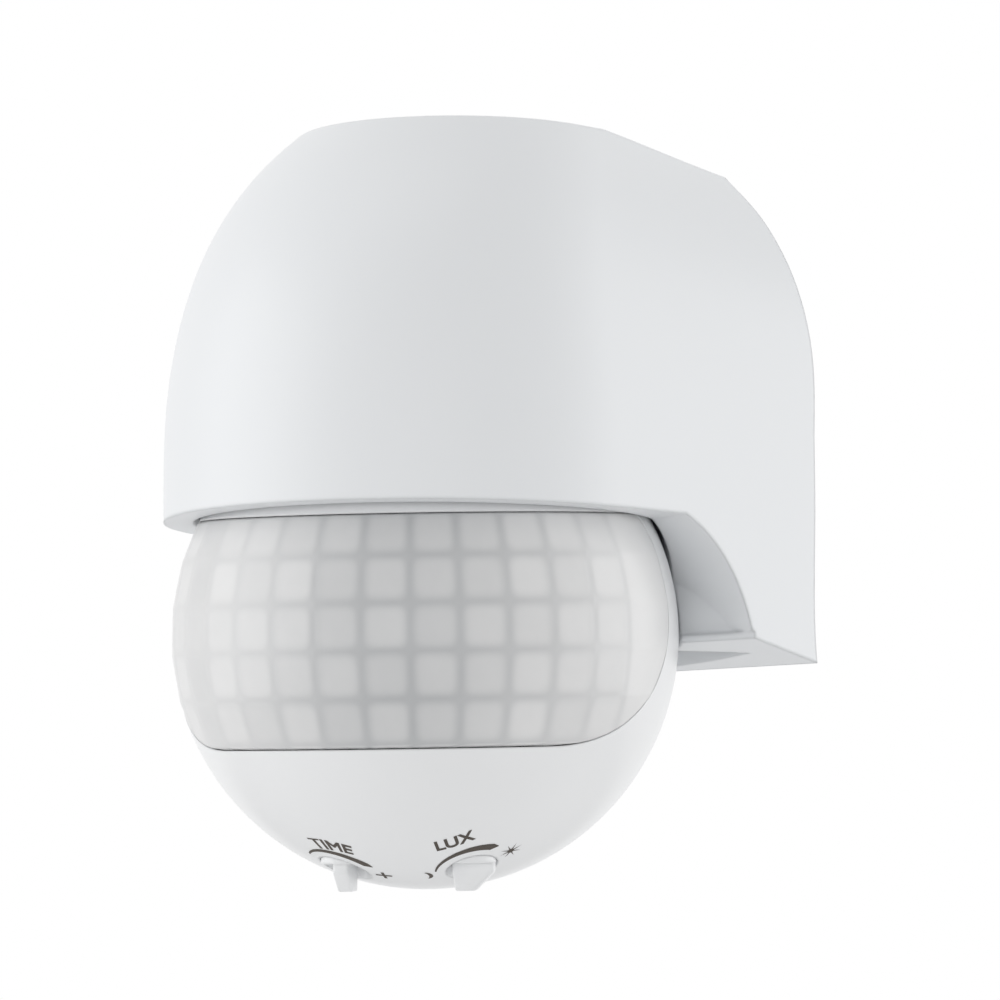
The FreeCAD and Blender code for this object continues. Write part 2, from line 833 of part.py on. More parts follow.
def make_terminals():
    """The mains terminal block on the wall plate and its clamp screws."""
    back = WALL - S["plate_thickness"]
    front = back - S["terminal_depth"]
    low = S["terminal_low"] + 0
    half = S["terminal_half_width"]
    form = block("terminal_form", (-half, front, low), (half, back, low + S["terminal_height"]))
    z = low + S["terminal_height"] / 2
    recesses = []
    screws = []
    seat_depth = front + S["terminal_recess"]
    for way, x in enumerate(terminal_places()):
        radius = S["terminal_screw_radius"] + S["screw_clearance"]
        recesses.append(rod(f"clamp_recess{way}", radius, S["terminal_recess"], (x, front, z), ALONG_Y))
        entry_y = seat_depth + S["terminal_wire_radius"] * 2
        wire = rod(f"wire_entry{way}", S["terminal_wire_radius"], S["terminal_height"] / 2, (x, entry_y, low))
        recesses.append(wire)
        height = S["terminal_screw_height"]
        screws.append(
            rod(f"clamp_screw{way}", S["terminal_screw_radius"], height, (x, seat_depth - height, z), ALONG_Y)
        )
    seat(cut("terminal_block", form, recesses), HOUSING)
    seat(group("terminal_screws", screws), HOUSING)


def make_bearing_plate():
    """The shelf inside the hood that the swivel yoke turns in, with rails for the power board."""
    body = new_body("bearing_form")
    top = S["bearing_height"] + S["bearing_thickness"]
    plan = plan_sketch(body, "bearing_plan", top, S["hood_wall"] + S["shelf_gap"])
    pad(body, "bearing_pad", plan, S["bearing_thickness"], reverse=True)
    half = S["wall_half_width"]
    low = S["bearing_height"] - S["bearing_thickness"]
    trim = block("bearing_trim", (-half, S["bearing_back"] + 0, low), (half, WALL * BEYOND, top * BEYOND))
    tools = [trim, rod("bearing_hole", S["bearing_bore"], top - low + 1, (0, 0, low))]
    for index, (x, y) in enumerate(post_places()):
        radius = S["screw_radius"] + S["screw_clearance"]
        tools.append(rod(f"bearing_screw_hole{index}", radius, top - low + 1, (x, y, low)))
    rails = []
    for side in SIDES:
        edge = S["power_board_half"] + S["turn_gap"]
        near, far = edge * side, (edge + S["rail_width"]) * side
        left, right = (near, far) if side > 0 else (far, near)
        middle = S["power_board_front"] + S["board_thickness"] / 2
        reach = S["rail_depth"] / 2
        high = top + S["rail_height"]
        rails.append(block(f"board_rail{side + 1}", (left, middle - reach, top), (right, middle + reach, high)))
    plate = cut("bearing_drilled", body, tools)
    seat(join("bearing_plate", [plate] + rails), HOUSING)
    screws = [
        screw(f"bearing_screw{index}", (x, y, S["bearing_height"] + 0), S["post_height"], S["screw_head_height"], "up")
        for index, (x, y) in enumerate(post_places())
    ]
    seat(group("bearing_screws", screws), HOUSING)


def make_power_board():
    """The power board, which stands in the rails of the bearing plate, and what is soldered to it."""
    low = S["bearing_height"] + S["bearing_thickness"]
    front = S["power_board_front"] + 0
    half = S["power_board_half"]
    board = new_body("power_board")
    face = new_sketch(board, "power_board_face", "XZ_Plane", lift=-front)
    add_rectangle(face, -half, low, half, ROOF_BACK - S["hood_wall"] - S["power_board_gap"])
    pad(board, "power_board_pad", face, S["board_thickness"], reverse=True)
    seat(board, HOUSING)
    base = low + S["part_base"]
    gap = S["part_spacing"]
    place_part("relay", (-gap - S["relay_width"], front, base), S["relay_width"], S["relay_height"], S["relay_depth"])
    place_part("filter_capacitor", (gap, front, base), S["filter_width"], S["filter_height"], S["filter_depth"])
    can = new_body("smoothing_capacitor")
    ring = new_sketch(can, "can_ring", "XZ_Plane", lift=-front)
    centre_z = base + S["filter_height"] + S["can_radius"] + S["turn_gap"] * 5
    add_circle(ring, gap + S["filter_width"] / 2, centre_z, S["can_radius"])
    pad(can, "can_pad", ring, S["can_length"])
    seat(can, HOUSING)


def place_part(label, corner, width, height, depth):
    """A boxed component on the front of the power board, with softened outer edges."""
    x, front, z = corner
    body = new_body(label)
    face = new_sketch(body, f"{label}_face", "XZ_Plane", lift=-front)
    add_rectangle(face, x, z, x + width, z + height)
    pad(body, f"{label}_pad", face, depth)
    fillet_edges(body, f"{label}_edges", S["board_thickness"] / 2, lambda edge: edge.BoundBox.YLength > 1)
    seat(body, HOUSING)


def make_yoke():
    """The yoke that carries the ball: a hollow neck in the bearing plate, a disc and two arms."""
    washer_top = S["bearing_height"] - S["turn_gap"]
    disc_top = washer_top - S["washer_thickness"]
    disc_low = disc_top - S["yoke_thickness"]
    plate_top = S["bearing_height"] + S["bearing_thickness"]
    keeper_low = plate_top + S["turn_gap"]
    keeper_top = keeper_low + S["keeper_thickness"]
    neck = S["bearing_bore"] - S["neck_clearance"]
    disc = rod("yoke_disc", S["yoke_radius"], S["yoke_thickness"], (0, 0, disc_low))
    neck_rod = rod("yoke_neck", neck, keeper_top - disc_top, (0, 0, disc_top))
    pieces = [disc, neck_rod]
    holes = [rod("yoke_bore", neck - S["neck_wall"], keeper_top, (0, 0, disc_low - 1))]
    depth = S["arm_half_depth"]
    for side in SIDES:
        far, near = S["arm_outer"] * side, (S["arm_outer"] - S["arm_thickness"]) * side
        left, right = (near, far) if side > 0 else (far, near)
        pieces.append(block(f"arm{side + 1}", (left, -depth, 0), (right, depth, disc_top)))
        pieces.append(rod(f"arm_end{side + 1}", depth, S["arm_thickness"], (left, 0, 0), ALONG_X))
        hole_radius = S["pin_radius"] + S["pin_clearance"]
        holes.append(rod(f"arm_hole{side + 1}", hole_radius, S["arm_thickness"] * 3, (left - 1, 0, 0), ALONG_X))
    seat(cut("swivel_yoke", join("yoke_form", pieces), holes), YOKE)
    ring = new_body("friction_washer")
    flat = new_sketch(ring, "washer_ring", "XY_Plane", lift=disc_top)
    add_circle(flat, 0, 0, S["yoke_radius"] - S["neck_clearance"] * 10)
    add_circle(flat, 0, 0, neck + S["pin_clearance"])
    pad(ring, "washer_pad", flat, S["washer_thickness"])
    seat(ring, YOKE)
    keeper = new_body("keeper_ring")
    flat = new_sketch(keeper, "keeper_circle", "XY_Plane", lift=keeper_low)
    add_circle(flat, 0, 0, neck + S["keeper_width"])
    add_circle(flat, 0, 0, neck + S["pin_clearance"])
    pad(keeper, "keeper_pad", flat, S["keeper_thickness"])
    seat(keeper, YOKE)


def make_tilt_pins():
    """The two pins that the ball nods on, headed on the inside of the arms."""
    pins = []
    for side in SIDES:
        inner = S["arm_outer"] - S["arm_thickness"]
        length = S["arm_thickness"] + S["pin_reach"]
        shank_start = inner if side > 0 else -(inner + length)
        head_start = inner - S["pin_head_height"] if side > 0 else -inner
        shank = rod(f"pin_shank{side + 1}", S["pin_radius"], length, (shank_start, 0, 0), ALONG_X)
        head = rod(f"pin_head{side + 1}", S["pin_head_radius"], S["pin_head_height"], (head_start, 0, 0), ALONG_X)
        pins.append(join(f"tilt_pin{side + 1}", [shank, head]))
    seat(group("tilt_pins", pins), YOKE)


def window_form(label, grow):
    """The lens window as a form run through the ball from side to side, grown by grow."""
    body = new_body(label)
    sketch = new_sketch(body, f"{label}_side", "YZ_Plane")
    front = -S["ball_radius"] * BEYOND
    low = -S["window_bottom"] - grow
    high = S["window_top"] + grow
    add_rectangle(sketch, front, low, -S["window_back"] + grow, high)
    pad(body, f"{label}_pad", sketch, S["ball_radius"] * 2.4, both_ways=True)
    back = number(-S["window_back"] + grow) - SLACK

    def back_edge(edge, upper):
        """True for the long edge at the back of the window, upper or lower."""
        box = edge.BoundBox
        return box.YMin > back and box.XLength > 1 and (box.ZMin > 0) == upper

    top_corner = S["window_top_corner"] + grow
    low_corner = S["window_low_corner"] + grow
    fillet_edges(body, f"{label}_top_corners", top_corner, lambda edge: back_edge(edge, True))
    fillet_edges(body, f"{label}_low_corners", low_corner, lambda edge: back_edge(edge, False))
    return body


def crown_cuts(tag):
    """What is cut from the top of the ball so that the yoke's arms can reach in."""
    radius = S["ball_radius"]
    top = block(f"{tag}_crown", (-radius, -radius, S["crown_height"] + 0), (radius, radius, radius * BEYOND))
    x, y = S["crown_slot_half_x"], S["crown_slot_half_y"]
    slot = block(f"{tag}_crown_slot", (-x, -y, S["crown_slot_floor"] + 0), (x, y, radius * BEYOND))
    return [top, slot]


def shell_screw_places():
    """Where the two ball shells are screwed together."""
    return [(S["shell_screw_x"] * side, S["shell_screw_z"] * level) for side in SIDES for level in SIDES]


def knob_places():
    """The middle of each adjuster under the ball, by name."""
    return {
        "time": (-S["knob_x"], -S["knob_front"]),
        "lux": (S["knob_x"] + 0, -S["knob_front"]),
    }


def make_casing():
    """The front shell of the ball: window, tilt bosses, screw bosses, posts and adjuster holes."""
    radius = S["ball_radius"]
    inner = radius - S["shell_wall"]
    skin = cut("casing_skin", ball("casing_ball", radius), [ball("casing_inside", inner)])
    inner_parts = []
    holes = []
    start = S["arm_outer"] + S["boss_gap"]
    for side in SIDES:
        left = start if side > 0 else -radius
        inner_parts.append(rod(f"tilt_boss{side + 1}", S["boss_radius"], radius - start, (left, 0, 0), ALONG_X))
        low, high = (start, radius) if side > 0 else (-radius, -start)
        web = S["web_thickness"] / 2
        inner_parts.append(block(f"tilt_web{side + 1}", (low, 0, -web), (high, S["web_depth"], web)))
        reach = S["pin_reach"] + S["pin_clearance"] * 10
        hole_start = start - 1 if side > 0 else -(start + reach)
        hole_radius = S["pin_radius"] + S["pin_clearance"]
        holes.append(rod(f"tilt_hole{side + 1}", hole_radius, reach + 1, (hole_start, 0, 0), ALONG_X))
    front = S["shell_boss_front"] + 0
    for index, (x, z) in enumerate(shell_screw_places()):
        length = S["split_back"] - front
        inner_parts.append(rod(f"casing_boss{index}", S["shell_boss_radius"], length, (x, front, z), ALONG_Y))
        holes.append(rod(f"casing_boss_hole{index}", S["screw_radius"], length * 2, (x, front + 1, z), ALONG_Y))
    seat_z = -S["control_board_drop"] - S["board_thickness"]
    for side in SIDES:
        x = S["control_post_x"] * side
        y = S["control_post_y"] + 0
        height = radius + seat_z
        inner_parts.append(rod(f"control_post{side + 1}", S["board_post_radius"], height, (x, y, -radius)))
        depth = S["board_screw_length"]
        holes.append(rod(f"control_post_hole{side + 1}", S["screw_radius"], depth, (x, y, seat_z - depth)))
    limit = ball("casing_limit", radius - S["shell_wall"] / 2)
    fittings = common("casing_fittings", join("casing_fitting_parts", inner_parts), limit)
    window = window_form("casing_window", NOTHING)
    relief = window_form("casing_relief", S["lens_flange"] + S["lens_gap"])
    relief_zone = cut("casing_relief_zone", relief, [ball("casing_relief_core", inner - S["lens_flange_wall"] * 2)])
    inside_relief = common("casing_lens_space", relief_zone, ball("casing_relief_skin", inner))
    back = block("casing_back", (-radius, S["split_back"] + 0, -radius), (radius, radius * BEYOND, radius))
    for name, (x, y) in knob_places().items():
        hole_radius = S["knob_disc_radius"] + S["knob_hole_gap"]
        holes.append(rod(f"{name}_hole", hole_radius, radius - S["knob_end_drop"] / 2, (x, y, -radius * 1.1)))
    fittings_clear = cut("casing_fittings_clear", fittings, [inside_relief])
    form = join("casing_form", [skin, fittings_clear])
    seat(cut("head_casing", form, [window, back] + crown_cuts("casing") + holes), HEAD)


def make_back():
    """The rear shell of the ball, flat at the back, with sleeves for the screws and board posts."""
    radius = S["ball_radius"]
    inner = radius - S["shell_wall"]
    flat = S["back_flat"] + 0
    beyond = radius * BEYOND
    keep_out = block("back_trim", (-radius, flat, -radius), (radius, beyond, radius))
    core_flat = block("back_core_trim", (-radius, flat - S["shell_wall"], -radius), (radius, beyond, radius))
    outer_form = cut("back_outer", ball("back_ball", radius), [keep_out])
    core = cut("back_core", ball("back_inside", inner), [core_flat])
    skin = cut("back_skin", outer_form, [core])
    split = S["split_back"] + 0
    seat_y = split + S["shell_sleeve_length"]
    parts = []
    holes = []
    for index, (x, z) in enumerate(shell_screw_places()):
        parts.append(rod(f"back_sleeve{index}", S["shell_sleeve_radius"], radius - split, (x, split, z), ALONG_Y))
        hole_radius = S["screw_radius"] + S["screw_clearance"]
        holes.append(rod(f"back_hole{index}", hole_radius, radius, (x, split - 1, z), ALONG_Y))
        recess_radius = S["screw_head_radius"] + S["screw_clearance"] * 2
        holes.append(rod(f"back_recess{index}", recess_radius, radius, (x, seat_y, z), ALONG_Y))
    board_back = S["sensor_board_front"] + S["board_thickness"]
    for index, (x, z) in enumerate(board_post_places()):
        post = S["board_post_radius"]
        parts.append(rod(f"back_post{index}", post, flat - board_back, (x, board_back, z), ALONG_Y))
        depth = S["board_screw_length"]
        holes.append(rod(f"back_post_hole{index}", S["screw_radius"], depth, (x, board_back, z), ALONG_Y))
    fittings = common("back_fittings", join("back_fitting_parts", parts), outer_form)
    front = block("back_front", (-radius, -radius, -radius), (radius, split, radius))
    trimmed = cut("back_trimmed", skin, [front])
    seat(cut("head_back", join("back_form", [trimmed, fittings]), holes + crown_cuts("back")), HEAD)
    screws = []
    for index, (x, z) in enumerate(shell_screw_places()):
        length = S["screw_length"] + 0
        screws.append(screw(f"shell_screw{index}", (x, seat_y, z), length, S["screw_head_height"], "front"))
    seat(group("shell_screws", screws), HEAD)


def facet_zone(radius):
    """A band of the ball with flat facets, closed to the ball's axis."""
    columns = round(number(S["facet_columns"]))
    rows = round(number(S["facet_rows"]))
    span = math.radians(number(S["facet_span"]))
    size = number(radius)
    low = -math.asin(number(S["window_bottom"]) / size)
    high = math.asin(number(S["window_top"]) / size)

    def corner(column, row):
        turn = -span + 2 * span * column / columns
        rise = low + (high - low) * row / rows
        out = size * math.cos(rise)
        return Vector(out * math.sin(turn), -out * math.cos(turn), size * math.sin(rise))

    faces = []
    for column in range(columns):
        for row in range(rows):
            ring = [
                corner(column, row),
                corner(column + 1, row),
                corner(column + 1, row + 1),
                corner(column, row + 1),
            ]
            faces.append(Part.Face(Part.makePolygon(ring + ring[:1])))
    for row in (0, rows):
        axis_point = Vector(0, 0, corner(0, row).z)
        rim = [corner(column, row) for column in range(columns + 1)]
        faces.append(Part.Face(Part.makePolygon([axis_point] + rim + [axis_point])))
    for column in (0, columns):
        edge = [corner(column, row) for row in range(rows + 1)]
        ends = [Vector(0, 0, edge[-1].z), Vector(0, 0, edge[0].z)]
        ring = edge + ends
        faces.append(Part.Face(Part.makePolygon(ring + ring[:1])))
    solid = Part.Solid(Part.Shell(faces))
    solid.fix(1e-6, 1e-6, 1e-6)
    zone = doc.addObject("Part::Feature", "facet_zone")
    zone.Shape = solid
    return zone


def make_lens():
    """The segmented lens: a band of flat facets with a thin flange behind the casing."""
    outer = S["ball_radius"] - S["lens_inset"]
    core = outer - S["lens_thickness"]
    pane_zone = cut("lens_pane_zone", facet_zone(outer), [ball("lens_core", core)])
    pane = common("lens_pane", pane_zone, window_form("lens_outline", -S["lens_gap"]))
    flange_outer = S["ball_radius"] - S["shell_wall"] - S["lens_gap"]
    flange_inner = flange_outer - S["lens_flange_wall"]
    rim = cut("lens_rim", ball("lens_rim_outer", flange_outer), [ball("lens_rim_inner", flange_inner)])
    flange = common("lens_flange_band", rim, window_form("lens_flange_outline", S["lens_flange"] + 0))
    seat(join("fresnel_lens", [pane, flange]), HEAD)


def board_post_places():
    """Where the sensor board is screwed to the rear shell."""
    return [(S["board_post_x"] * side, S["board_post_z"] * level) for side in SIDES for level in SIDES]


def make_boards():
    """The sensor board behind the lens, the control board under it and the screws of both."""
    front = S["sensor_board_front"] + 0
    half = S["sensor_board_half"]
    low = -S["control_board_drop"]
    thickness = S["board_thickness"]
    form = block("sensor_form", (-half, front, low), (half, front + thickness, S["sensor_board_top"] + 0))
    radius = S["screw_radius"] + S["screw_clearance"]
    holes = []
    screws = []
    head_height = S["board_screw_head_height"]
    for index, (x, z) in enumerate(board_post_places()):
        holes.append(rod(f"sensor_hole{index}", radius, thickness * 3, (x, front - 1, z), ALONG_Y))
        turned = rod(f"board_screw_shank{index}", S["screw_radius"], S["board_screw_length"], (x, front, z), ALONG_Y)
        head = rod(f"board_screw_head{index}", S["screw_head_radius"], head_height, (x, front - head_height, z), ALONG_Y)
        screws.append(join(f"board_screw{index}", [turned, head]))
    seat(cut("sensor_board", form, holes), HEAD)
    wide = S["control_board_half"]
    control_form = block(
        "control_form",
        (-wide, -S["control_board_front"], low - thickness),
        (wide, S["control_board_back"] + 0, low),
    )
    control_holes = []
    for side in SIDES:
        x = S["control_post_x"] * side
        y = S["control_post_y"] + 0
        control_holes.append(rod(f"control_hole{side + 1}", radius, thickness * 3, (x, y, low - thickness * 2)))
        shank_top = (x, y, low)
        name = f"control_screw{side + 1}"
        screws.append(screw(name, shank_top, S["board_screw_length"], head_height, "down"))
    seat(cut("control_board", control_form, control_holes), HEAD)
    seat(group("board_screws", screws), HEAD)


def make_sensors():
    """The pyroelectric sensor at the centre of the ball and the light cell below it."""
    front = S["sensor_board_front"] + 0
    can = rod("pyro_can", S["pyro_radius"], S["pyro_height"], (0, front - S["pyro_height"], 0), ALONG_Y)
    flange_radius = S["pyro_radius"] + S["pyro_flange"]
    rim = rod("pyro_rim", flange_radius, S["pyro_flange"], (0, front - S["pyro_flange"], 0), ALONG_Y)
    seat(join("pyro_sensor", [can, rim]), HEAD)
    cell = new_body("light_cell")
    ring = new_sketch(cell, "light_cell_ring", "XZ_Plane", lift=-front)
    add_circle(ring, 0, -S["cell_drop"], S["cell_radius"])
    pad(cell, "light_cell_pad", ring, S["cell_height"])
    seat(cell, HEAD)


def make_knob(name, x, y, stem_top):
    """A knob: a disc in the ball's skin, a stem into its control and a pointer to turn it by.

    It is drawn about its own axis, pointing to -Y, and then turned to its setting.
    """
    end = -S["knob_end_drop"]
    disc_low = end + S["blade_height"]
    disc_top = disc_low + S["knob_disc_height"]
    middle = disc_low + S["knob_disc_height"] / 2
    pointer = new_body(f"{name}_pointer")
    sketch = new_sketch(pointer, f"{name}_pointer_side", "YZ_Plane")
    nose, tail = -S["blade_nose"], S["blade_tail"]
    add_outline(sketch, [
        (tail, middle),
        (tail, disc_low),
        (tail - S["blade_tail_draft"], end),
        (nose + S["blade_nose_slope"], end),
        (nose, end + S["blade_nose_height"]),
        (nose, middle),
    ])
    pad(pointer, f"{name}_pointer_pad", sketch, S["blade_width"], both_ways=True)
    disc = rod(f"{name}_disc", S["knob_disc_radius"], S["knob_disc_height"], (0, 0, disc_low))
    stem = rod(f"{name}_stem", S["stem_radius"], stem_top - disc_top, (0, 0, disc_top))
    turned = f" * placement(vector({words(x)}; {words(y)}; 0); rotation(sizes.{name}_setting; 0; 0))"
    seat(join(f"{name}_knob", [disc, stem, pointer]), HEAD, turned)


def make_adjusters():
    """The two rotary controls under the control board and the knobs that turn them."""
    top = -S["control_board_drop"] - S["board_thickness"]
    half = S["control_width"] / 2
    low = top - S["control_height"]
    for name, (x, y) in knob_places().items():
        form = block(f"{name}_control_form", (x - half, y - half, low), (x + half, y + half, top))
        bore_radius = S["stem_radius"] + S["stem_clearance"]
        bore = rod(f"{name}_bore", bore_radius, S["stem_depth"] * 1.5, (x, y, low - S["stem_depth"] * 0.4))
        seat(cut(f"{name}_control", form, [bore]), HEAD)
        make_knob(name, x, y, low + S["stem_depth"])


def check_and_export():
    """Stop at any failed object, then write each node to its own file."""
    doc.recompute()
    for item in doc.Objects:
        if "Invalid" in item.State or "Error" in item.State:
            raise RuntimeError(f"{item.Name} failed: {item.State}")
    os.makedirs("parts", exist_ok=True)
    for piece in nodes:
        shape = piece.Shape
        if shape.isNull() or not shape.isValid() or not shape.Solids:
            raise RuntimeError(f"{piece.Label} has no valid solid")
        shape.exportStep(os.path.join("parts", f"{piece.Label}.step"))
        print(f"{piece.Label}: {len(shape.Solids)} solids, {shape.Volume:.1f} mm3")


make_hood()
make_wall_plate()
make_grommet()
make_terminals()
make_bearing_plate()
make_power_board()
make_yoke()
make_tilt_pins()
make_casing()
make_back()
make_lens()
make_boards()
make_sensors()
make_adjusters()
check_and_export()
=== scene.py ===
"""Looks of the wall-mounted motion detector: finishes, lens, printed legends, light and camera."""

import logging
import math
from dataclasses import dataclass, field
from enum import Enum
from typing import Callable, Optional, Sequence

import bmesh
import bpy
from mathutils import Matrix, Vector

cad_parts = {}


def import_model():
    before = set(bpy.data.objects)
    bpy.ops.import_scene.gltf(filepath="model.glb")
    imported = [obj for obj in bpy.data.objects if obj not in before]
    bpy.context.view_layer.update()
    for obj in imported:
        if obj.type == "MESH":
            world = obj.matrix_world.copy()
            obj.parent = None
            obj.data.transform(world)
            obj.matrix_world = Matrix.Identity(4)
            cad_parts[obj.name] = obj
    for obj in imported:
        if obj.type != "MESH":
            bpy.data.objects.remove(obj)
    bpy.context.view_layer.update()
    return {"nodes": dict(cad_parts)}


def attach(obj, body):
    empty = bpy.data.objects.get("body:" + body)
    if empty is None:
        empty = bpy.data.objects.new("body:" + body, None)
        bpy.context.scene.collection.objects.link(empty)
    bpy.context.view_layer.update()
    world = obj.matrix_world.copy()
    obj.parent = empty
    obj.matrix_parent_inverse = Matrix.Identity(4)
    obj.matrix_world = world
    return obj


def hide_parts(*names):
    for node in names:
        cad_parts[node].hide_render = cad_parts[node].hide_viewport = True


log = logging.getLogger("motion_detector")

MM = 0.001
WHITE = (1.0, 1.0, 1.0, 1.0)

# Corners of flat print that lie closer than this, in millimetres, are one corner
SAME_PLACE = 0.001

# Where the ball's centre lies from the part's origin, and how the head is turned at rest
BALL_CENTRE = Vector((0.0, -36.5, -30.0)) * MM
HEAD_TURN = math.radians(26.4)
HEAD_NOD = math.radians(4.0)
HEAD_TO_PART = (
    Matrix.Translation(BALL_CENTRE)
    @ Matrix.Rotation(HEAD_TURN, 4, "Z")
    @ Matrix.Rotation(HEAD_NOD, 4, "X")
)


# Small helpers


def linear(hex_colour: str) -> tuple[float, float, float, float]:
    """Turn an sRGB hex colour into the linear colour that a shader takes.

    Args:
        hex_colour: Six hex digits, with or without a leading hash.

    Returns:
        Red, green, blue and alpha, each from 0 to 1.
    """
    digits = hex_colour.lstrip("#")
    parts = [int(digits[i : i + 2], 16) / 255.0 for i in (0, 2, 4)]
    curve = [p / 12.92 if p <= 0.04045 else ((p + 0.055) / 1.055) ** 2.4 for p in parts]
    return (curve[0], curve[1], curve[2], 1.0)


def add_node(
    tree: bpy.types.NodeTree,
    kind: str,
    settings: Optional[dict] = None,
    values: Optional[dict] = None,
    links: Optional[dict] = None,
) -> bpy.types.Node:
    """Add one shader node with its settings, values and incoming links.

    Args:
        tree: The node tree that gets the node.
        kind: The node's type name.
        settings: Attributes of the node, by name.
        values: Constants for its input sockets, by name or number.
        links: Output sockets that feed its input sockets, by name or number.

    Returns:
        The new node.
    """
    node = tree.nodes.new(kind)
    for name, value in (settings or {}).items():
        setattr(node, name, value)
    for key, value in (values or {}).items():
        node.inputs[key].default_value = value
    for key, socket in (links or {}).items():
        tree.links.new(socket, node.inputs[key])
    return node


def deselect() -> None:
    """Leave nothing selected and be in object mode."""
    if bpy.context.object and bpy.context.object.mode != "OBJECT":
        bpy.ops.object.mode_set(mode="OBJECT")
    bpy.ops.object.select_all(action="DESELECT")


def make_only(piece: bpy.types.Object) -> None:
    """Select one piece alone and make it the active one.

    Args:
        piece: The piece to select.
    """
    deselect()
    piece.select_set(True)
    bpy.context.view_layer.objects.active = piece


def settle(piece: bpy.types.Object, name: str) -> bpy.types.Object:
    """Name a piece and put its place into its mesh, with the object at the origin.

    Args:
        piece: The finished piece.
        name: Its name in plain letters.

    Returns:
        The same piece.
    """
    make_only(piece)
    bpy.ops.object.transform_apply(location=True, rotation=True, scale=True)
    piece.name = name
    piece.data.name = name
    return piece


def seat_on_head(piece: bpy.types.Object) -> None:
    """Move a mesh drawn in millimetres about the ball's centre to its place on the head."""
    piece.data.transform(HEAD_TO_PART @ Matrix.Scale(MM, 4))
    piece.data.update()


def dress(piece: bpy.types.Object, material: bpy.types.Material) -> None:
    """Give a piece one material all over.

    Args:
        piece: The piece to dress.
        material: The material it gets.
    """
    if piece.data.materials:
        for index in range(len(piece.data.materials)):
            piece.data.materials[index] = material
    else:
        piece.data.materials.append(material)


# Finishes


@dataclass(frozen=True)
class MouldedPlastic:
    """A moulded thermoplastic: even in colour, with soft highlights and a faint tool grain."""

    name: str
    colour: str
    roughness: float = 0.36
    ior: float = 1.53
    grain_mm: float = 0.35
    grain_depth_mm: float = 0.004
    grain_strength: float = 0.35
    flow_mm: float = 20.0
    drift: float = 0.012
    corner_mm: float = 0.5
    corner_samples: int = 6

    def build(self) -> bpy.types.Material:
        """Make the material.

        Returns:
            The material, with grain in its normal and a slow drift in its tone.
        """
        material = bpy.data.materials.new(self.name)
        material.use_nodes = True
        tree = material.node_tree
        shader = tree.nodes["Principled BSDF"]
        shader.inputs["IOR"].default_value = self.ior
        shader.inputs["Roughness"].default_value = self.roughness
        place = add_node(tree, "ShaderNodeTexCoord")
        # Slow drift of tone, as resin flows into the mould, so that a wide wall isn't dead even
        flow = add_node(
            tree,
            "ShaderNodeTexNoise",
            values={"Scale": 1.0 / (self.flow_mm * MM), "Detail": 2.0, "Roughness": 0.5},
            links={"Vector": place.outputs["Object"]},
        )
        base = linear(self.colour)
        dark = tuple(c * (1.0 - self.drift) for c in base[:3]) + (1.0,)
        tone = add_node(
            tree,
            "ShaderNodeMix",
            settings={"data_type": "RGBA"},
            values={6: dark, 7: base},
            links={0: flow.outputs["Fac"]},
        )
        tree.links.new(tone.outputs[2], shader.inputs["Base Color"])
        # Spark-eroded grain of the tool, drawn coarser than the real 0.05 mm so that it shows,
        # which breaks up the highlight
        grain = add_node(
            tree,
            "ShaderNodeTexNoise",
            values={"Scale": 1.0 / (self.grain_mm * MM), "Detail": 3.0, "Roughness": 0.6},
            links={"Vector": place.outputs["Object"]},
        )
        # Moulded corners are never sharp: the light rolls over them
        rounded = add_node(
            tree,
            "ShaderNodeBevel",
            settings={"samples": self.corner_samples},
            values={"Radius": self.corner_mm * MM},
        )
        bump = add_node(
            tree,
            "ShaderNodeBump",
            values={"Strength": self.grain_strength, "Distance": self.grain_depth_mm * MM},
            links={"Height": grain.outputs["Fac"], "Normal": rounded.outputs["Normal"]},
        )
        tree.links.new(bump.outputs["Normal"], shader.inputs["Normal"])
        return material


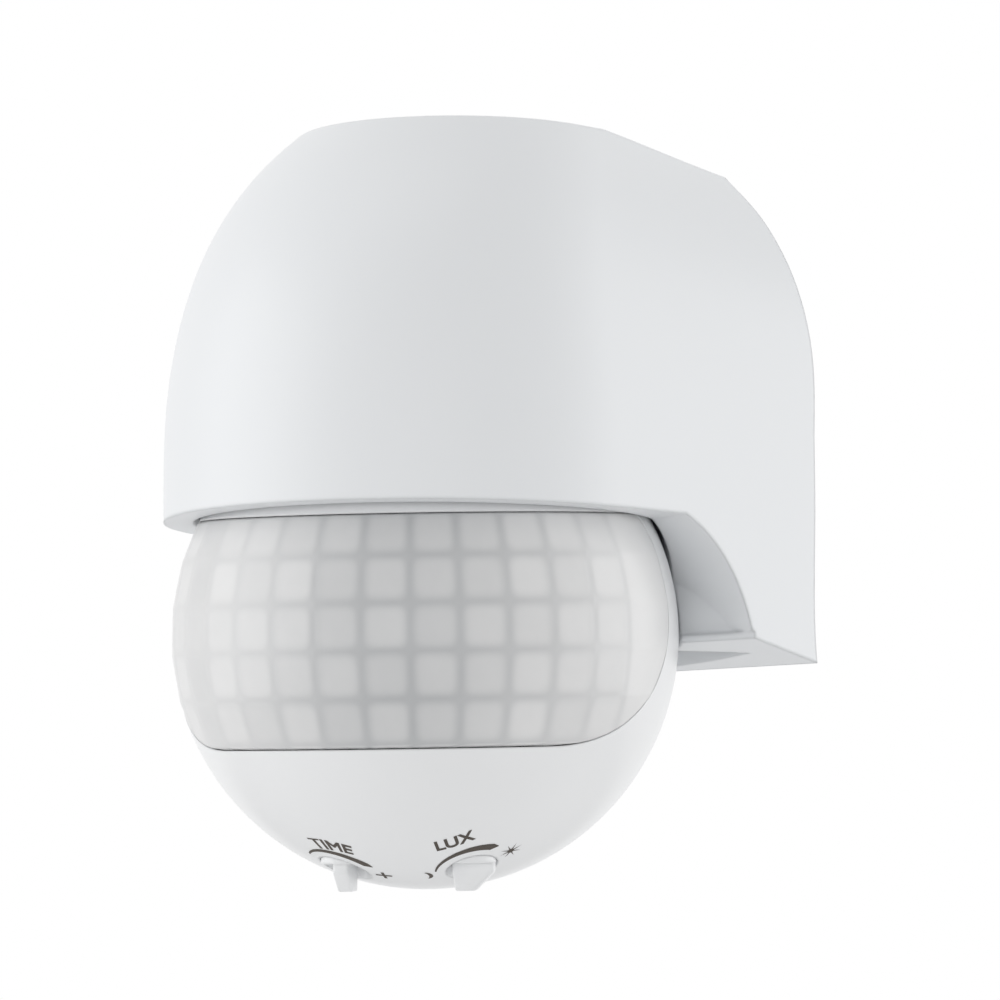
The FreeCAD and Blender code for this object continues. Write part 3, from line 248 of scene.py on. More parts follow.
@dataclass(frozen=True)
class LensSheet:
    """Translucent white polyethylene, milky and waxy, with painted shade where the inside shows."""

    name: str = "moulded_hdpe_lens"
    colour: str = "#EFEFEF"
    # Painted shade: the lens colour goes towards this where the dark inside shows through
    painted_shade_colour: str = "#B9BBBD"
    roughness: float = 0.34
    ior: float = 1.51
    see_through: float = 0.10
    cloud_mm: float = 3.0
    cloud_depth_mm: float = 0.03
    cloud_strength: float = 0.25
    milk: float = 0.05
    shade_attribute: str = "depth"

    def build(self) -> bpy.types.Material:
        """Make the material.

        Returns:
            The lens material, partly transmitting, with painted shade along its seams and before
            the sensor.
        """
        material = bpy.data.materials.new(self.name)
        material.use_nodes = True
        tree = material.node_tree
        shader = tree.nodes["Principled BSDF"]
        shader.inputs["Roughness"].default_value = self.roughness
        shader.inputs["IOR"].default_value = self.ior
        shader.inputs["Transmission Weight"].default_value = self.see_through
        place = add_node(tree, "ShaderNodeTexCoord")
        # Milky clouds of a few millimetres, as the resin cools unevenly in the thin cells
        cloud = add_node(
            tree,
            "ShaderNodeTexNoise",
            values={"Scale": 1.0 / (self.cloud_mm * MM), "Detail": 2.0, "Roughness": 0.5},
            links={"Vector": place.outputs["Object"]},
        )
        milk = add_node(
            tree,
            "ShaderNodeMapRange",
            values={"To Min": -self.milk, "To Max": self.milk},
            links={"Value": cloud.outputs["Fac"]},
        )
        # The mesh carries the painted shade: how much of the dark inside shows at each place
        depth = add_node(
            tree, "ShaderNodeAttribute", settings={"attribute_name": self.shade_attribute}
        )
        shade = add_node(
            tree,
            "ShaderNodeMath",
            settings={"operation": "ADD", "use_clamp": True},
            links={0: depth.outputs["Fac"], 1: milk.outputs["Result"]},
        )
        tone = add_node(
            tree,
            "ShaderNodeMix",
            settings={"data_type": "RGBA"},
            values={6: linear(self.colour), 7: linear(self.painted_shade_colour)},
            links={0: shade.outputs[0]},
        )
        tree.links.new(tone.outputs[2], shader.inputs["Base Color"])
        bump = add_node(
            tree,
            "ShaderNodeBump",
            values={"Strength": self.cloud_strength, "Distance": self.cloud_depth_mm * MM},
            links={"Height": cloud.outputs["Fac"]},
        )
        tree.links.new(bump.outputs["Normal"], shader.inputs["Normal"])
        return material


@dataclass(frozen=True)
class PadPrint:
    """Pad-printed ink: matt, thin and a little uneven, so the white shows through in specks."""

    name: str = "pad_printed_ink"
    colour: str = "#38322C"
    thin_colour: str = "#5C534A"
    roughness: float = 0.6
    speck_mm: float = 0.25

    def build(self) -> bpy.types.Material:
        """Make the material.

        Returns:
            A dark matt ink whose cover varies a little.
        """
        material = bpy.data.materials.new(self.name)
        material.use_nodes = True
        tree = material.node_tree
        shader = tree.nodes["Principled BSDF"]
        shader.inputs["Roughness"].default_value = self.roughness
        place = add_node(tree, "ShaderNodeTexCoord")
        cover = add_node(
            tree,
            "ShaderNodeTexNoise",
            values={"Scale": 1.0 / (self.speck_mm * MM), "Detail": 2.0},
            links={"Vector": place.outputs["Object"]},
        )
        thin = add_node(
            tree,
            "ShaderNodeMix",
            settings={"data_type": "RGBA"},
            values={6: linear(self.colour), 7: linear(self.thin_colour)},
            links={0: cover.outputs["Fac"]},
        )
        tree.links.new(thin.outputs[2], shader.inputs["Base Color"])
        return material


@dataclass(frozen=True)
class PlainMetal:
    """A plated metal, bright and cool, with a fine rolled or turned grain in its highlight."""

    name: str
    colour: str
    roughness: float = 0.32
    unevenness: float = 0.08
    grain_mm: float = 0.15

    def build(self) -> bpy.types.Material:
        """Make the material.

        Returns:
            A metal whose roughness varies with its grain.
        """
        material = bpy.data.materials.new(self.name)
        material.use_nodes = True
        tree = material.node_tree
        shader = tree.nodes["Principled BSDF"]
        shader.inputs["Base Color"].default_value = linear(self.colour)
        shader.inputs["Metallic"].default_value = 1.0
        place = add_node(tree, "ShaderNodeTexCoord")
        grain = add_node(
            tree,
            "ShaderNodeTexNoise",
            values={"Scale": 1.0 / (self.grain_mm * MM), "Detail": 2.0},
            links={"Vector": place.outputs["Object"]},
        )
        spread = add_node(
            tree,
            "ShaderNodeMapRange",
            values={
                "To Min": self.roughness - self.unevenness,
                "To Max": self.roughness + self.unevenness,
            },
            links={"Value": grain.outputs["Fac"]},
        )
        tree.links.new(spread.outputs["Result"], shader.inputs["Roughness"])
        return material


class Finish(Enum):
    """Every finish on the part, by what it is made of."""

    # Weatherproof shell: cool white, satin, with broad soft highlights and rounded edges
    HOUSING = MouldedPlastic("moulded_asa_housing", "#EDEFF1", roughness=0.40, corner_mm=0.9)
    # Polished tool: the ball is a touch whiter and smoother than the hood
    BALL = MouldedPlastic("polished_abs_ball", "#F1F2F3", roughness=0.28, grain_depth_mm=0.001)
    # Plain tool at the wall side: dull white
    PLATE = MouldedPlastic("moulded_abs_plate", "#E6E8E9", roughness=0.45)
    # Slippery bearing resin: waxy light grey
    NYLON = MouldedPlastic("moulded_nylon_bearing", "#B6B9BB", roughness=0.42)
    # Flame-proof resin: dull warm white
    TERMINAL = MouldedPlastic("moulded_polyamide_terminal", "#D8D9D4", roughness=0.45)
    # Glass-fibre sheet under green lacquer: a cloudy, half-glossy green
    BOARD = MouldedPlastic("solder_resist_board", "#2F6B47", roughness=0.35, drift=0.12)
    # Moulded cover: even mid blue
    RELAY = MouldedPlastic("moulded_relay_case", "#2B4F86", roughness=0.35)
    # Box filled with resin: glossy ochre
    FILM = MouldedPlastic("potted_film_capacitor", "#D5B23C", roughness=0.30)
    # Shrunk-on film: tight, glossy and nearly black
    SLEEVE = MouldedPlastic("pvc_can_sleeve", "#25282D", roughness=0.25)
    # Soft moulding: dull grey with no clear highlight
    RUBBER = MouldedPlastic("soft_pvc_grommet", "#84888C", roughness=0.62, grain_depth_mm=0.01)
    # Moulded trimmer: dull blue
    CONTROL = MouldedPlastic("moulded_trimmer_body", "#3D5F94", roughness=0.40)
    # Glazed disc: warm tan with a clear highlight
    CELL = MouldedPlastic("light_cell_ceramic", "#C9A184", roughness=0.30)
    # Bright zinc on cut threads and heads: cool grey, a little cloudy
    STEEL = PlainMetal("zinc_plated_steel", "#B9BCC0")
    # Drawn and plated cap: sharper and paler than the screws
    CAN = PlainMetal("nickel_plated_can", "#C9CCCE", roughness=0.22)
    LENS = LensSheet()
    INK = PadPrint()


NODE_FINISH: dict[str, Finish] = {
    "hood": Finish.HOUSING,
    "wall_plate": Finish.PLATE,
    "cable_grommet": Finish.RUBBER,
    "terminal_block": Finish.TERMINAL,
    "terminal_screws": Finish.STEEL,
    "bearing_plate": Finish.PLATE,
    "bearing_screws": Finish.STEEL,
    "power_board": Finish.BOARD,
    "relay": Finish.RELAY,
    "filter_capacitor": Finish.FILM,
    "smoothing_capacitor": Finish.SLEEVE,
    "swivel_yoke": Finish.NYLON,
    "friction_washer": Finish.RUBBER,
    "keeper_ring": Finish.NYLON,
    "tilt_pins": Finish.STEEL,
    "head_casing": Finish.BALL,
    "head_back": Finish.BALL,
    "shell_screws": Finish.STEEL,
    "fresnel_lens": Finish.LENS,
    "sensor_board": Finish.BOARD,
    "control_board": Finish.BOARD,
    "board_screws": Finish.STEEL,
    "pyro_sensor": Finish.CAN,
    "light_cell": Finish.CELL,
    "time_control": Finish.CONTROL,
    "lux_control": Finish.CONTROL,
    "time_knob": Finish.BALL,
    "lux_knob": Finish.BALL,
}


class Workshop:
    """Builds each finish once and hands it out."""

    def __init__(self) -> None:
        """Start with no finish built."""
        self.made: dict[Finish, bpy.types.Material] = {}

    def get(self, finish: Finish) -> bpy.types.Material:
        """Give the material of a finish, building it on first use.

        Args:
            finish: The finish wanted.

        Returns:
            Its material.
        """
        if finish not in self.made:
            self.made[finish] = finish.value.build()
        return self.made[finish]

    def dress_nodes(self, nodes: dict[str, bpy.types.Object]) -> None:
        """Give every node of the part its finish.

        Args:
            nodes: The part's objects by name.
        """
        for name, finish in NODE_FINISH.items():
            dress(nodes[name], self.get(finish))
            log.info("dressed %s in %s", name, finish.value.name)


# Lens


@dataclass
class SegmentedLens:
    """The wrap-round lens: five rows of flat-faced cells, moulded in one sheet.

    Everything is in millimetres about the ball's centre, with the head looking towards -Y.
    """

    radius: float = 34.05
    thickness: float = 0.8
    pitch: float = 11.0
    columns_each_side: int = 6
    row_edges: Sequence[float] = (-25.3, -14.3, -3.8, 6.9, 17.6, 28.2)
    flatness: float = 0.7
    groove_width: float = 0.45
    groove_depth: float = 0.08
    # Painted shade along the seams, strongest about seam_turn
    seam_width: float = 0.8
    seam_base: float = 0.13
    seam_shade: float = 0.36
    # A listed darkening for each column, and a slow drift from cell to cell
    column_shades: Sequence[float] = (
        0.02, 0.16, 0.0, 0.03, 0.0, 0.06, 0.04, 0.10, 0.07, 0.0, 0.04, 0.06
    )
    cell_drift: float = 0.05
    drift_across: float = 2.7
    drift_up: float = 4.1
    squareness: float = 5.0
    seam_turn: float = 18.0
    seam_spread: float = 40.0
    # Painted shade of the dark inside, deepest before the sensor
    sensor_turn: float = 3.0
    sensor_spread: float = 31.0
    sensor_shade: float = 0.36
    top: float = 15.695
    bottom: float = -14.895
    back: float = -2.005
    edge_width: float = 0.25
    edge_depth: float = 0.05
    top_corner: float = 3.0
    low_corner: float = 19.0
    cuts_across: int = 384
    cuts_up: int = 104
    finish: Finish = Finish.LENS

    def back_edge(self, height: float) -> float:
        """How far back the window reaches at a height, with its rounded corners.

        Args:
            height: Height above the ball's centre.

        Returns:
            The place of the lens's end along the line of sight, ahead being negative.
        """
        ends = ((self.top, self.top_corner, 1.0), (self.bottom, self.low_corner, -1.0))
        for edge, corner, side in ends:
            into = side * (height - (edge - side * corner))
            if into > 0.0:
                into = min(into, corner)
                return self.back - corner + math.sqrt(corner**2 - into**2)
        return self.back

    def cell(self, turn: float, rise: float) -> tuple[float, float]:
        """Where a place lies in its cell.

        Args:
            turn: Angle round the ball in degrees, nought straight ahead.
            rise: Angle up from the equator in degrees.

        Returns:
            The turn and the rise from the middle of the cell, in degrees.
        """
        row = 0.0
        for low, high in zip(self.row_edges, self.row_edges[1:]):
            if low <= rise <= high:
                row = rise - (low + high) / 2.0
        reach = self.pitch * self.columns_each_side
        if abs(turn) > reach:
            return self.pitch / 2.0, row
        return (turn + reach) % self.pitch - self.pitch / 2.0, row

    def seam_distance(self, turn: float, rise: float) -> float:
        """Distance to the rounded edge of the cell that a place lies in.

        Args:
            turn: Angle round the ball in degrees.
            rise: Angle up from the equator in degrees.

        Returns:
            The distance in millimetres, nought on the seam.
        """
        side, up = self.cell(turn, rise)
        arc = math.radians(self.radius)
        half_side = arc * self.pitch / 2.0 * math.cos(math.radians(rise))
        half_up = arc * (self.row_edges[1] - self.row_edges[0]) / 2.0
        aside = abs(arc * side * math.cos(math.radians(rise)) / half_side)
        upright = abs(arc * up / half_up)
        power = self.squareness
        share = (aside**power + upright**power) ** (1.0 / power)
        beyond = arc * max(0.0, abs(turn) - self.pitch * self.columns_each_side)
        return max(0.0, 1.0 - share) * half_up + beyond

    def size(self, turn: float, rise: float) -> float:
        """Distance of the surface from the ball's centre: flat cells with a fine groove between.

        Args:
            turn: Angle round the ball in degrees.
            rise: Angle up from the equator in degrees.

        Returns:
            The distance in millimetres.
        """
        side, up = self.cell(turn, rise)
        lean = math.cos(math.radians(side)) * math.cos(math.radians(up))
        flat = math.cos(math.radians(self.pitch / 2.0)) ** 2 / lean
        near = self.seam_distance(turn, rise) / self.groove_width
        groove = self.groove_depth * math.exp(-(near**2))
        return self.radius * (1.0 - self.flatness * (1.0 - min(flat, 1.0))) - groove

    def edge_drop(self, across: float, up: float) -> float:
        """How far the lens falls away at its edge, which shows as a fine line round the window.

        Args:
            across: From 0 at one end of the lens to 1 at the other.
            up: From 0 at the lower edge to 1 at the upper edge.

        Returns:
            The fall in millimetres.
        """
        tall = (self.top - self.bottom) * min(up, 1.0 - up)
        wide = math.pi * self.radius * min(across, 1.0 - across)
        near = min(tall, wide) / self.edge_width
        return self.edge_depth * max(0.0, 1.0 - near)

    def shade(self, turn: float, rise: float) -> float:
        """Painted shade of the dark inside: most before the sensor and along the seams.

        Args:
            turn: Angle round the ball in degrees.
            rise: Angle up from the equator in degrees.

        Returns:
            The share of the painted shade, from 0 to about 1.
        """
        # Painted shade before the sensor and on the seams, plus the listed darkening of each column
        # and cell
        from_sensor = (turn - self.sensor_turn) / self.sensor_spread
        before = self.sensor_shade * math.exp(-(from_sensor**2))
        from_middle = (turn - self.seam_turn) / self.seam_spread
        seen = self.seam_base + self.seam_shade * math.exp(-(from_middle**2))
        column = math.floor((turn + self.pitch * self.columns_each_side) / self.pitch)
        row = sum(rise > edge for edge in self.row_edges[1:-1])
        own = 0.0
        if 0 <= column < len(self.column_shades):
            wave = math.sin(self.drift_across * column + self.drift_up * row)
            own = self.column_shades[column] + self.cell_drift * wave
        seam = math.exp(-((self.seam_distance(turn, rise) / self.seam_width) ** 2))
        return before + own * (1.0 - seam) + seen * seam

    def angles(self, across: float, up: float) -> tuple[float, float]:
        """Map a point of the flat grid to its turn and rise on the ball.

        Args:
            across: From 0 at one end of the lens to 1 at the other.
            up: From 0 at the lower edge to 1 at the upper edge.

        Returns:
            The turn and the rise, in degrees.
        """
        height = self.bottom + (self.top - self.bottom) * up
        ring = math.sqrt(self.radius**2 - height**2)
        end = math.degrees(math.acos(min(1.0, -self.back_edge(height) / ring)))
        return -end + 2.0 * end * across, math.degrees(math.asin(height / self.radius))

    def build(self, workshop: Workshop) -> bpy.types.Object:
        """Model the lens and put it in place of the plain one.

        Args:
            workshop: Where the finish comes from.

        Returns:
            The lens.
        """
        deselect()
        bpy.ops.mesh.primitive_grid_add(
            x_subdivisions=self.cuts_across, y_subdivisions=self.cuts_up, size=1.0
        )
        piece = bpy.context.object
        # Each vertex carries its painted shade of the dark inside showing through the sheet
        depth = piece.data.attributes.new(LensSheet.shade_attribute, "FLOAT", "POINT")
        for vert in piece.data.vertices:
            turn, rise = self.angles(vert.co.x + 0.5, vert.co.y + 0.5)
            depth.data[vert.index].value = self.shade(turn, rise)
            size = self.size(turn, rise) - self.edge_drop(vert.co.x + 0.5, vert.co.y + 0.5)
            lift, spin = math.radians(rise), math.radians(turn)
            flat = size * math.cos(lift)
            vert.co = (flat * math.sin(spin), -flat * math.cos(spin), size * math.sin(lift))
        middle = piece.data.polygons[len(piece.data.polygons) // 2]
        if middle.normal.dot(middle.center) < 0.0:
            piece.data.flip_normals()
        wall = piece.modifiers.new("wall", "SOLIDIFY")
        wall.thickness = self.thickness
        wall.offset = -1.0
        wall.use_even_offset = False
        make_only(piece)
        bpy.ops.object.modifier_apply(modifier="wall")
        bpy.ops.object.shade_smooth()
        seat_on_head(piece)
        settle(piece, "lens_segments")
        dress(piece, workshop.get(self.finish))
        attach(piece, "head")
        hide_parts("fresnel_lens")
        log.info("lens of %d faces", len(piece.data.polygons))
        return piece


# Printed legends


@dataclass(frozen=True)
class Word:
    """A word to print: its text, the height of its capitals and its length, in millimetres."""

    text: str
    height: float
    width: float


@dataclass
class Legends:
    """What is printed beside the two adjusters, laid on the ball from straight below.

    The places are in millimetres about the ball's centre, X to the right and -Y ahead.
    """

    ball: float = 34.0
    lift: float = 0.03
    adjuster_x: float = 8.6
    adjuster_y: float = -11.0
    wedge_inner: float = 4.7
    wedge_thin: float = 0.2
    wedge_thick: float = 1.2
    wedge_start: float = -70.0
    wedge_full: float = 45.0
    wedge_end: float = 54.0
    wedge_steps: int = 36
    tip_share: float = 0.7
    tip_width: float = 0.1
    ink_spread: float = 0.08
    curve_steps: int = 6
    time_word: Word = Word("TIME", 1.75, 5.4)
    time_radius: float = 8.4
    time_middle: tuple[float, float] = (-6.84, -8.75)
    time_turn: float = -12.5
    lux_word: Word = Word("LUX", 1.7, 5.1)
    lux_middle: tuple[float, float] = (8.25, -17.8)
    plus_place: tuple[float, float] = (-3.2, -11.7)
    plus_arm: float = 1.1
    plus_half_width: float = 0.2
    sun_place: tuple[float, float] = (14.1, -11.7)
    sun_points: int = 32
    sun_rays: int = 8
    sun_reach: float = 1.55
    sun_disc: float = 0.45
    moon_place: tuple[float, float] = (2.2, -11.6)
    moon_opening: float = 65.0
    moon_steps: int = 14
    moon_outer: float = 1.25
    moon_inner_across: float = 0.70
    moon_inner_up: float = 1.20
    finish: Finish = Finish.INK

    def on_ball(self, x: float, y: float) -> Vector:
        """The point of the ball's underside below a place, lifted by the ink."""
        size = self.ball + self.lift
        return Vector((x, y, -math.sqrt(max(0.0, size**2 - x**2 - y**2))))

    def lay(self, mesh: bmesh.types.BMesh, name: str, workshop: Workshop) -> None:
        """Lay a flat mesh on the ball and finish it.

        Args:
            mesh: A mesh drawn flat in millimetres.
            name: Its name.
            workshop: Where the finish comes from.
        """
        bmesh.ops.remove_doubles(mesh, verts=mesh.verts, dist=SAME_PLACE)
        bmesh.ops.triangulate(mesh, faces=mesh.faces)
        for vert in mesh.verts:
            vert.co = self.on_ball(vert.co.x, vert.co.y)
        mesh.normal_update()
        inward = [f for f in mesh.faces if f.normal.dot(f.calc_center_median()) < 0.0]
        bmesh.ops.reverse_faces(mesh, faces=inward)
        data = bpy.data.meshes.new(name)
        mesh.to_mesh(data)
        mesh.free()
        piece = bpy.data.objects.new(name, data)
        bpy.context.scene.collection.objects.link(piece)
        seat_on_head(piece)
        settle(piece, name)
        dress(piece, workshop.get(self.finish))
        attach(piece, "head")
        log.info("legend %s", name)

    def print_word(self, word: Word, spread: Callable, workshop: Workshop) -> None:
        """Print a word ahead of an adjuster.

        Args:
            word: The word and its size.
            spread: Where a point of the word goes, from its place along and above the baseline.
            workshop: Where the finish comes from.
        """
        deselect()
        bpy.ops.object.text_add()
        piece = bpy.context.object
        piece.data.body = word.text
        piece.data.resolution_u = self.curve_steps
        bpy.ops.object.convert(target="MESH")
        piece = bpy.context.object
        mesh = bmesh.new()
        mesh.from_mesh(piece.data)
        bpy.data.objects.remove(piece)
        xs = [vert.co.x for vert in mesh.verts]
        ys = [vert.co.y for vert in mesh.verts]
        for vert in mesh.verts:
            along = ((vert.co.x - min(xs)) / (max(xs) - min(xs)) - 0.5) * word.width
            above = (vert.co.y - min(ys)) / (max(ys) - min(ys)) * word.height
            vert.co = (*spread(along, above), 0.0)
        self.embolden(mesh)
        self.lay(mesh, f"legend_{word.text.lower()}", workshop)

    def embolden(self, mesh: bmesh.types.BMesh) -> None:
        """Move the outline of flat letters outwards by a little, as thick ink does.

        Args:
            mesh: The letters, drawn flat in millimetres.
        """
        bmesh.ops.remove_doubles(mesh, verts=mesh.verts, dist=SAME_PLACE)
        bmesh.ops.triangulate(mesh, faces=mesh.faces)
        moves: dict[int, Vector] = {}
        mesh.verts.index_update()
        for edge in mesh.edges:
            if len(edge.link_faces) != 1:
                continue
            first, second = edge.verts
            across = (second.co - first.co).cross(Vector((0.0, 0.0, 1.0))).normalized()
            inside = edge.link_faces[0].calc_center_median() - first.co
            if across.dot(inside) > 0.0:
                across.negate()
            for vert in edge.verts:
                moves[vert.index] = moves.get(vert.index, Vector()) + across
        # A corner moves further than a straight edge, but not without end, and a vertex
        # whose two edges fold back on each other stays where it is
        folded, sharpest = 0.2, 0.7
        for vert in mesh.verts:
            if vert.index in moves and moves[vert.index].length > folded:
                move = moves[vert.index]
                vert.co += move.normalized() * self.ink_spread / max(sharpest, move.length / 2.0)

    def strip(self, outline: list, name: str, workshop: Workshop) -> None:
        """Print a strip through pairs of points.

        Args:
            outline: Pairs of points, one on each edge of the strip.
            name: The strip's name.
            workshop: Where the finish comes from.
        """
        mesh = bmesh.new()
        rows = [(mesh.verts.new((*a, 0.0)), mesh.verts.new((*b, 0.0))) for a, b in outline]
        for (a, b), (c, d) in zip(rows, rows[1:]):
            mesh.faces.new((a, b, d, c))
        self.lay(mesh, name, workshop)

    def round_adjuster(self, x: float, radius: float, degrees: float) -> tuple[float, float]:
        """Find a place round an adjuster.

        Args:
            x: Where the adjuster is, to the right.
            radius: Distance from its axis.
            degrees: Angle round it, nought straight ahead.

        Returns:
            The place, to the right and back.
        """
        angle = math.radians(degrees)
        return x + radius * math.sin(angle), self.adjuster_y - radius * math.cos(angle)

    def wedge(self, x: float, name: str, workshop: Workshop) -> None:
        """Print the scale round an adjuster, thin at its low end and thick at its high end.

        Args:
            x: Where the adjuster is, to the right.
            name: The scale's name.
            workshop: Where the finish comes from.
        """
        outline = []
        steps = self.wedge_steps
        for step in range(steps + 1):
            angle = self.wedge_start + (self.wedge_full - self.wedge_start) * step / steps
            width = self.wedge_thin + (self.wedge_thick - self.wedge_thin) * step / steps
            inner = self.round_adjuster(x, self.wedge_inner, angle)
            outline.append((inner, self.round_adjuster(x, self.wedge_inner + width, angle)))
        tip = self.wedge_inner + self.tip_share * self.wedge_thick
        outline.append(
            (
                self.round_adjuster(x, tip, self.wedge_end),
                self.round_adjuster(x, tip + self.tip_width, self.wedge_end),
            )
        )
        self.strip(outline, name, workshop)

    def sun(self, name: str, workshop: Workshop) -> None:
        """Print a small sun: a disc with eight rays.

        Args:
            name: The mark's name.
            workshop: Where the finish comes from.
        """
        x, y = self.sun_place
        mesh = bmesh.new()
        points = []
        for step in range(self.sun_points):
            angle = math.radians(360.0 * step / self.sun_points)
            on_ray = step % (self.sun_points // self.sun_rays) == 0
            reach = self.sun_reach if on_ray else self.sun_disc
            place = (x + reach * math.sin(angle), y + reach * math.cos(angle), 0.0)
            points.append(mesh.verts.new(place))
        middle = mesh.verts.new((x, y, 0.0))
        for a, b in zip(points, points[1:] + points[:1]):
            mesh.faces.new((a, b, middle))
        self.lay(mesh, name, workshop)

    def moon(self, name: str, workshop: Workshop) -> None:
        """Print a small crescent, open to the left.

        Args:
            name: The mark's name.
            workshop: Where the finish comes from.
        """
        x, y = self.moon_place
        outline = []
        for step in range(self.moon_steps + 1):
            turned = 2.0 * self.moon_opening * step / self.moon_steps
            angle = math.radians(-self.moon_opening + turned)
            across, up = math.cos(angle), math.sin(angle)
            outer = (x + self.moon_outer * across, y + self.moon_outer * up)
            inner = (x + self.moon_inner_across * across, y + self.moon_inner_up * up)
            outline.append((outer, inner))
        self.strip(outline, name, workshop)

    def plus(self, name: str, workshop: Workshop) -> None:
        """Print a small plus sign.

        Args:
            name: The mark's name.
            workshop: Where the finish comes from.
        """
        x, y = self.plus_place
        arm, half = self.plus_arm, self.plus_half_width
        mesh = bmesh.new()
        inner = [(half, half), (-half, half), (-half, -half), (half, -half)]
        ends = [[(half, arm), (-half, arm)], [(-arm, half), (-arm, -half)]]
        ends += [[(-half, -arm), (half, -arm)], [(arm, -half), (arm, half)]]
        corner = [mesh.verts.new((x + u, y + v, 0.0)) for u, v in inner]
        mesh.faces.new(corner)
        starts = [(0, 1), (1, 2), (2, 3), (3, 0)]
        for (first, second), pair in zip(starts, ends):
            tips = [mesh.verts.new((x + u, y + v, 0.0)) for u, v in pair]
            mesh.faces.new((corner[first], corner[second], tips[1], tips[0]))
        self.lay(mesh, name, workshop)

    def build(self, workshop: Workshop) -> None:
        """Print every legend.

        Args:
            workshop: Where the finish comes from.
        """

        def curved(along: float, above: float) -> tuple[float, float]:
            """Bend the word round the adjuster on the left.

            Args:
                along: Distance along the word from its middle.
                above: Height above its baseline.

            Returns:
                The place on the head, to the right and back.
            """
            angle = math.radians(self.time_turn) + along / self.time_radius
            reach = self.time_radius + above
            x, y = self.time_middle
            return x + reach * math.sin(angle), y - reach * math.cos(angle)

        def straight(along: float, above: float) -> tuple[float, float]:
            """Set the word straight ahead of the adjuster on the right."""
            x, y = self.lux_middle
            return x + along, y - above

        self.print_word(self.time_word, curved, workshop)
        self.print_word(self.lux_word, straight, workshop)
        self.wedge(-self.adjuster_x, "scale_time", workshop)
        self.wedge(self.adjuster_x, "scale_lux", workshop)
        self.plus("mark_more", workshop)
        self.sun("mark_sun", workshop)
        self.moon("mark_moon", workshop)


# Adjusters


@dataclass
class AdjusterKnob:
    """A knob under the ball: a disc in the skin, a stem above it and a rounded pointer below.

    It is drawn in millimetres about its own axis, pointing straight ahead, to -Y.
    """

    name: str
    body: str
    x: float
    setting: float
    y: float = -11.0
    disc_radius: float = 3.3
    disc_low: float = -30.2
    disc_top: float = -28.6
    stem_radius: float = 1.5
    stem_top: float = -20.4
    end: float = -33.9
    width: float = 2.0
    nose: float = 3.1
    nose_low: float = -31.4
    nose_end: float = 0.5
    tail: float = 2.5
    tail_end: float = 2.1
    faces_round: int = 64
    overlap: float = 0.2
    disc_rounding: float = 0.25
    stem_rounding: float = 0.15
    pointer_rounding: float = 0.28
    rim_cuts: int = 3
    edge_cuts: int = 4
    sharp_edge: float = 25.0
    smooth_edge: float = 35.0
    finish: Finish = Finish.BALL

    def turned(self, radius: float, low: float, top: float, rounding: float) -> bpy.types.Object:
        """Add a round bar with a softened rim.

        Args:
            radius: Its radius.
            low: Height of its lower end.
            top: Height of its upper end.
            rounding: Width of the softened rim.

        Returns:
            The bar.
        """
        deselect()
        bpy.ops.mesh.primitive_cylinder_add(
            vertices=self.faces_round,
            radius=radius,
            depth=top - low,
            location=(0.0, 0.0, (top + low) / 2.0),
        )
        bar = bpy.context.object
        bpy.ops.object.transform_apply(location=True, rotation=True, scale=True)
        soft = bar.modifiers.new("soft", "BEVEL")
        soft.width = rounding
        soft.segments = self.rim_cuts
        bpy.ops.object.modifier_apply(modifier="soft")
        return bar

    def pointer(self) -> bpy.types.Object:
        """Shape the pointer from a block: cut it at the nose, pull the end in, and round its edges.

        Returns:
            The pointer.
        """
        deselect()
        top = (self.disc_low + self.disc_top) / 2.0
        bpy.ops.mesh.primitive_cube_add(size=1.0)
        piece = bpy.context.object
        piece.scale = (self.width, self.nose + self.tail, top - self.end)
        piece.location = (0.0, (self.tail - self.nose) / 2.0, (top + self.end) / 2.0)
        bpy.ops.object.transform_apply(location=True, rotation=True, scale=True)
        bpy.ops.object.mode_set(mode="EDIT")
        bpy.ops.mesh.select_all(action="SELECT")
        bpy.ops.mesh.bisect(plane_co=(0.0, 0.0, self.nose_low), plane_no=(0.0, 0.0, 1.0))
        bpy.ops.mesh.select_all(action="DESELECT")
        bpy.ops.object.mode_set(mode="OBJECT")
        for vert in piece.data.vertices:
            if vert.co.z < self.end + SAME_PLACE:
                vert.co.y = -self.nose_end if vert.co.y < 0.0 else self.tail_end
        soft = piece.modifiers.new("soft", "BEVEL")
        soft.width = self.pointer_rounding
        soft.segments = self.edge_cuts
        soft.limit_method = "ANGLE"
        soft.angle_limit = math.radians(self.sharp_edge)
        make_only(piece)
        bpy.ops.object.modifier_apply(modifier="soft")
        return piece

    def build(self, workshop: Workshop) -> bpy.types.Object:
        """Model the knob, set it and put it in place of the plain one.

        Args:
            workshop: Where the finish comes from.

        Returns:
            The knob.
        """
        pieces = [
            self.turned(self.disc_radius, self.disc_low, self.disc_top, self.disc_rounding),
            self.turned(
                self.stem_radius, self.disc_top - self.overlap, self.stem_top, self.stem_rounding
            ),
            self.pointer(),
        ]
        deselect()
        for piece in pieces:
            piece.select_set(True)
        knob = pieces[0]
        bpy.context.view_layer.objects.active = knob
        bpy.ops.object.join()
        turn = Matrix.Rotation(math.radians(self.setting), 4, "Z")
        knob.data.transform(Matrix.Translation((self.x, self.y, 0.0)) @ turn)
        seat_on_head(knob)
        settle(knob, self.name)
        make_only(knob)
        bpy.ops.object.shade_smooth_by_angle(angle=math.radians(self.smooth_edge))
        dress(knob, workshop.get(self.finish))
        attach(knob, self.body)
        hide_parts(self.body)
        log.info("knob %s", self.name)
        return knob


# Light, floor and camera


@dataclass(frozen=True)
class Lamp:
    """A soft square lamp: where it hangs and its width in metres, and its power in watts."""

    name: str
    spot: tuple[float, float, float]
    size: float
    power: float


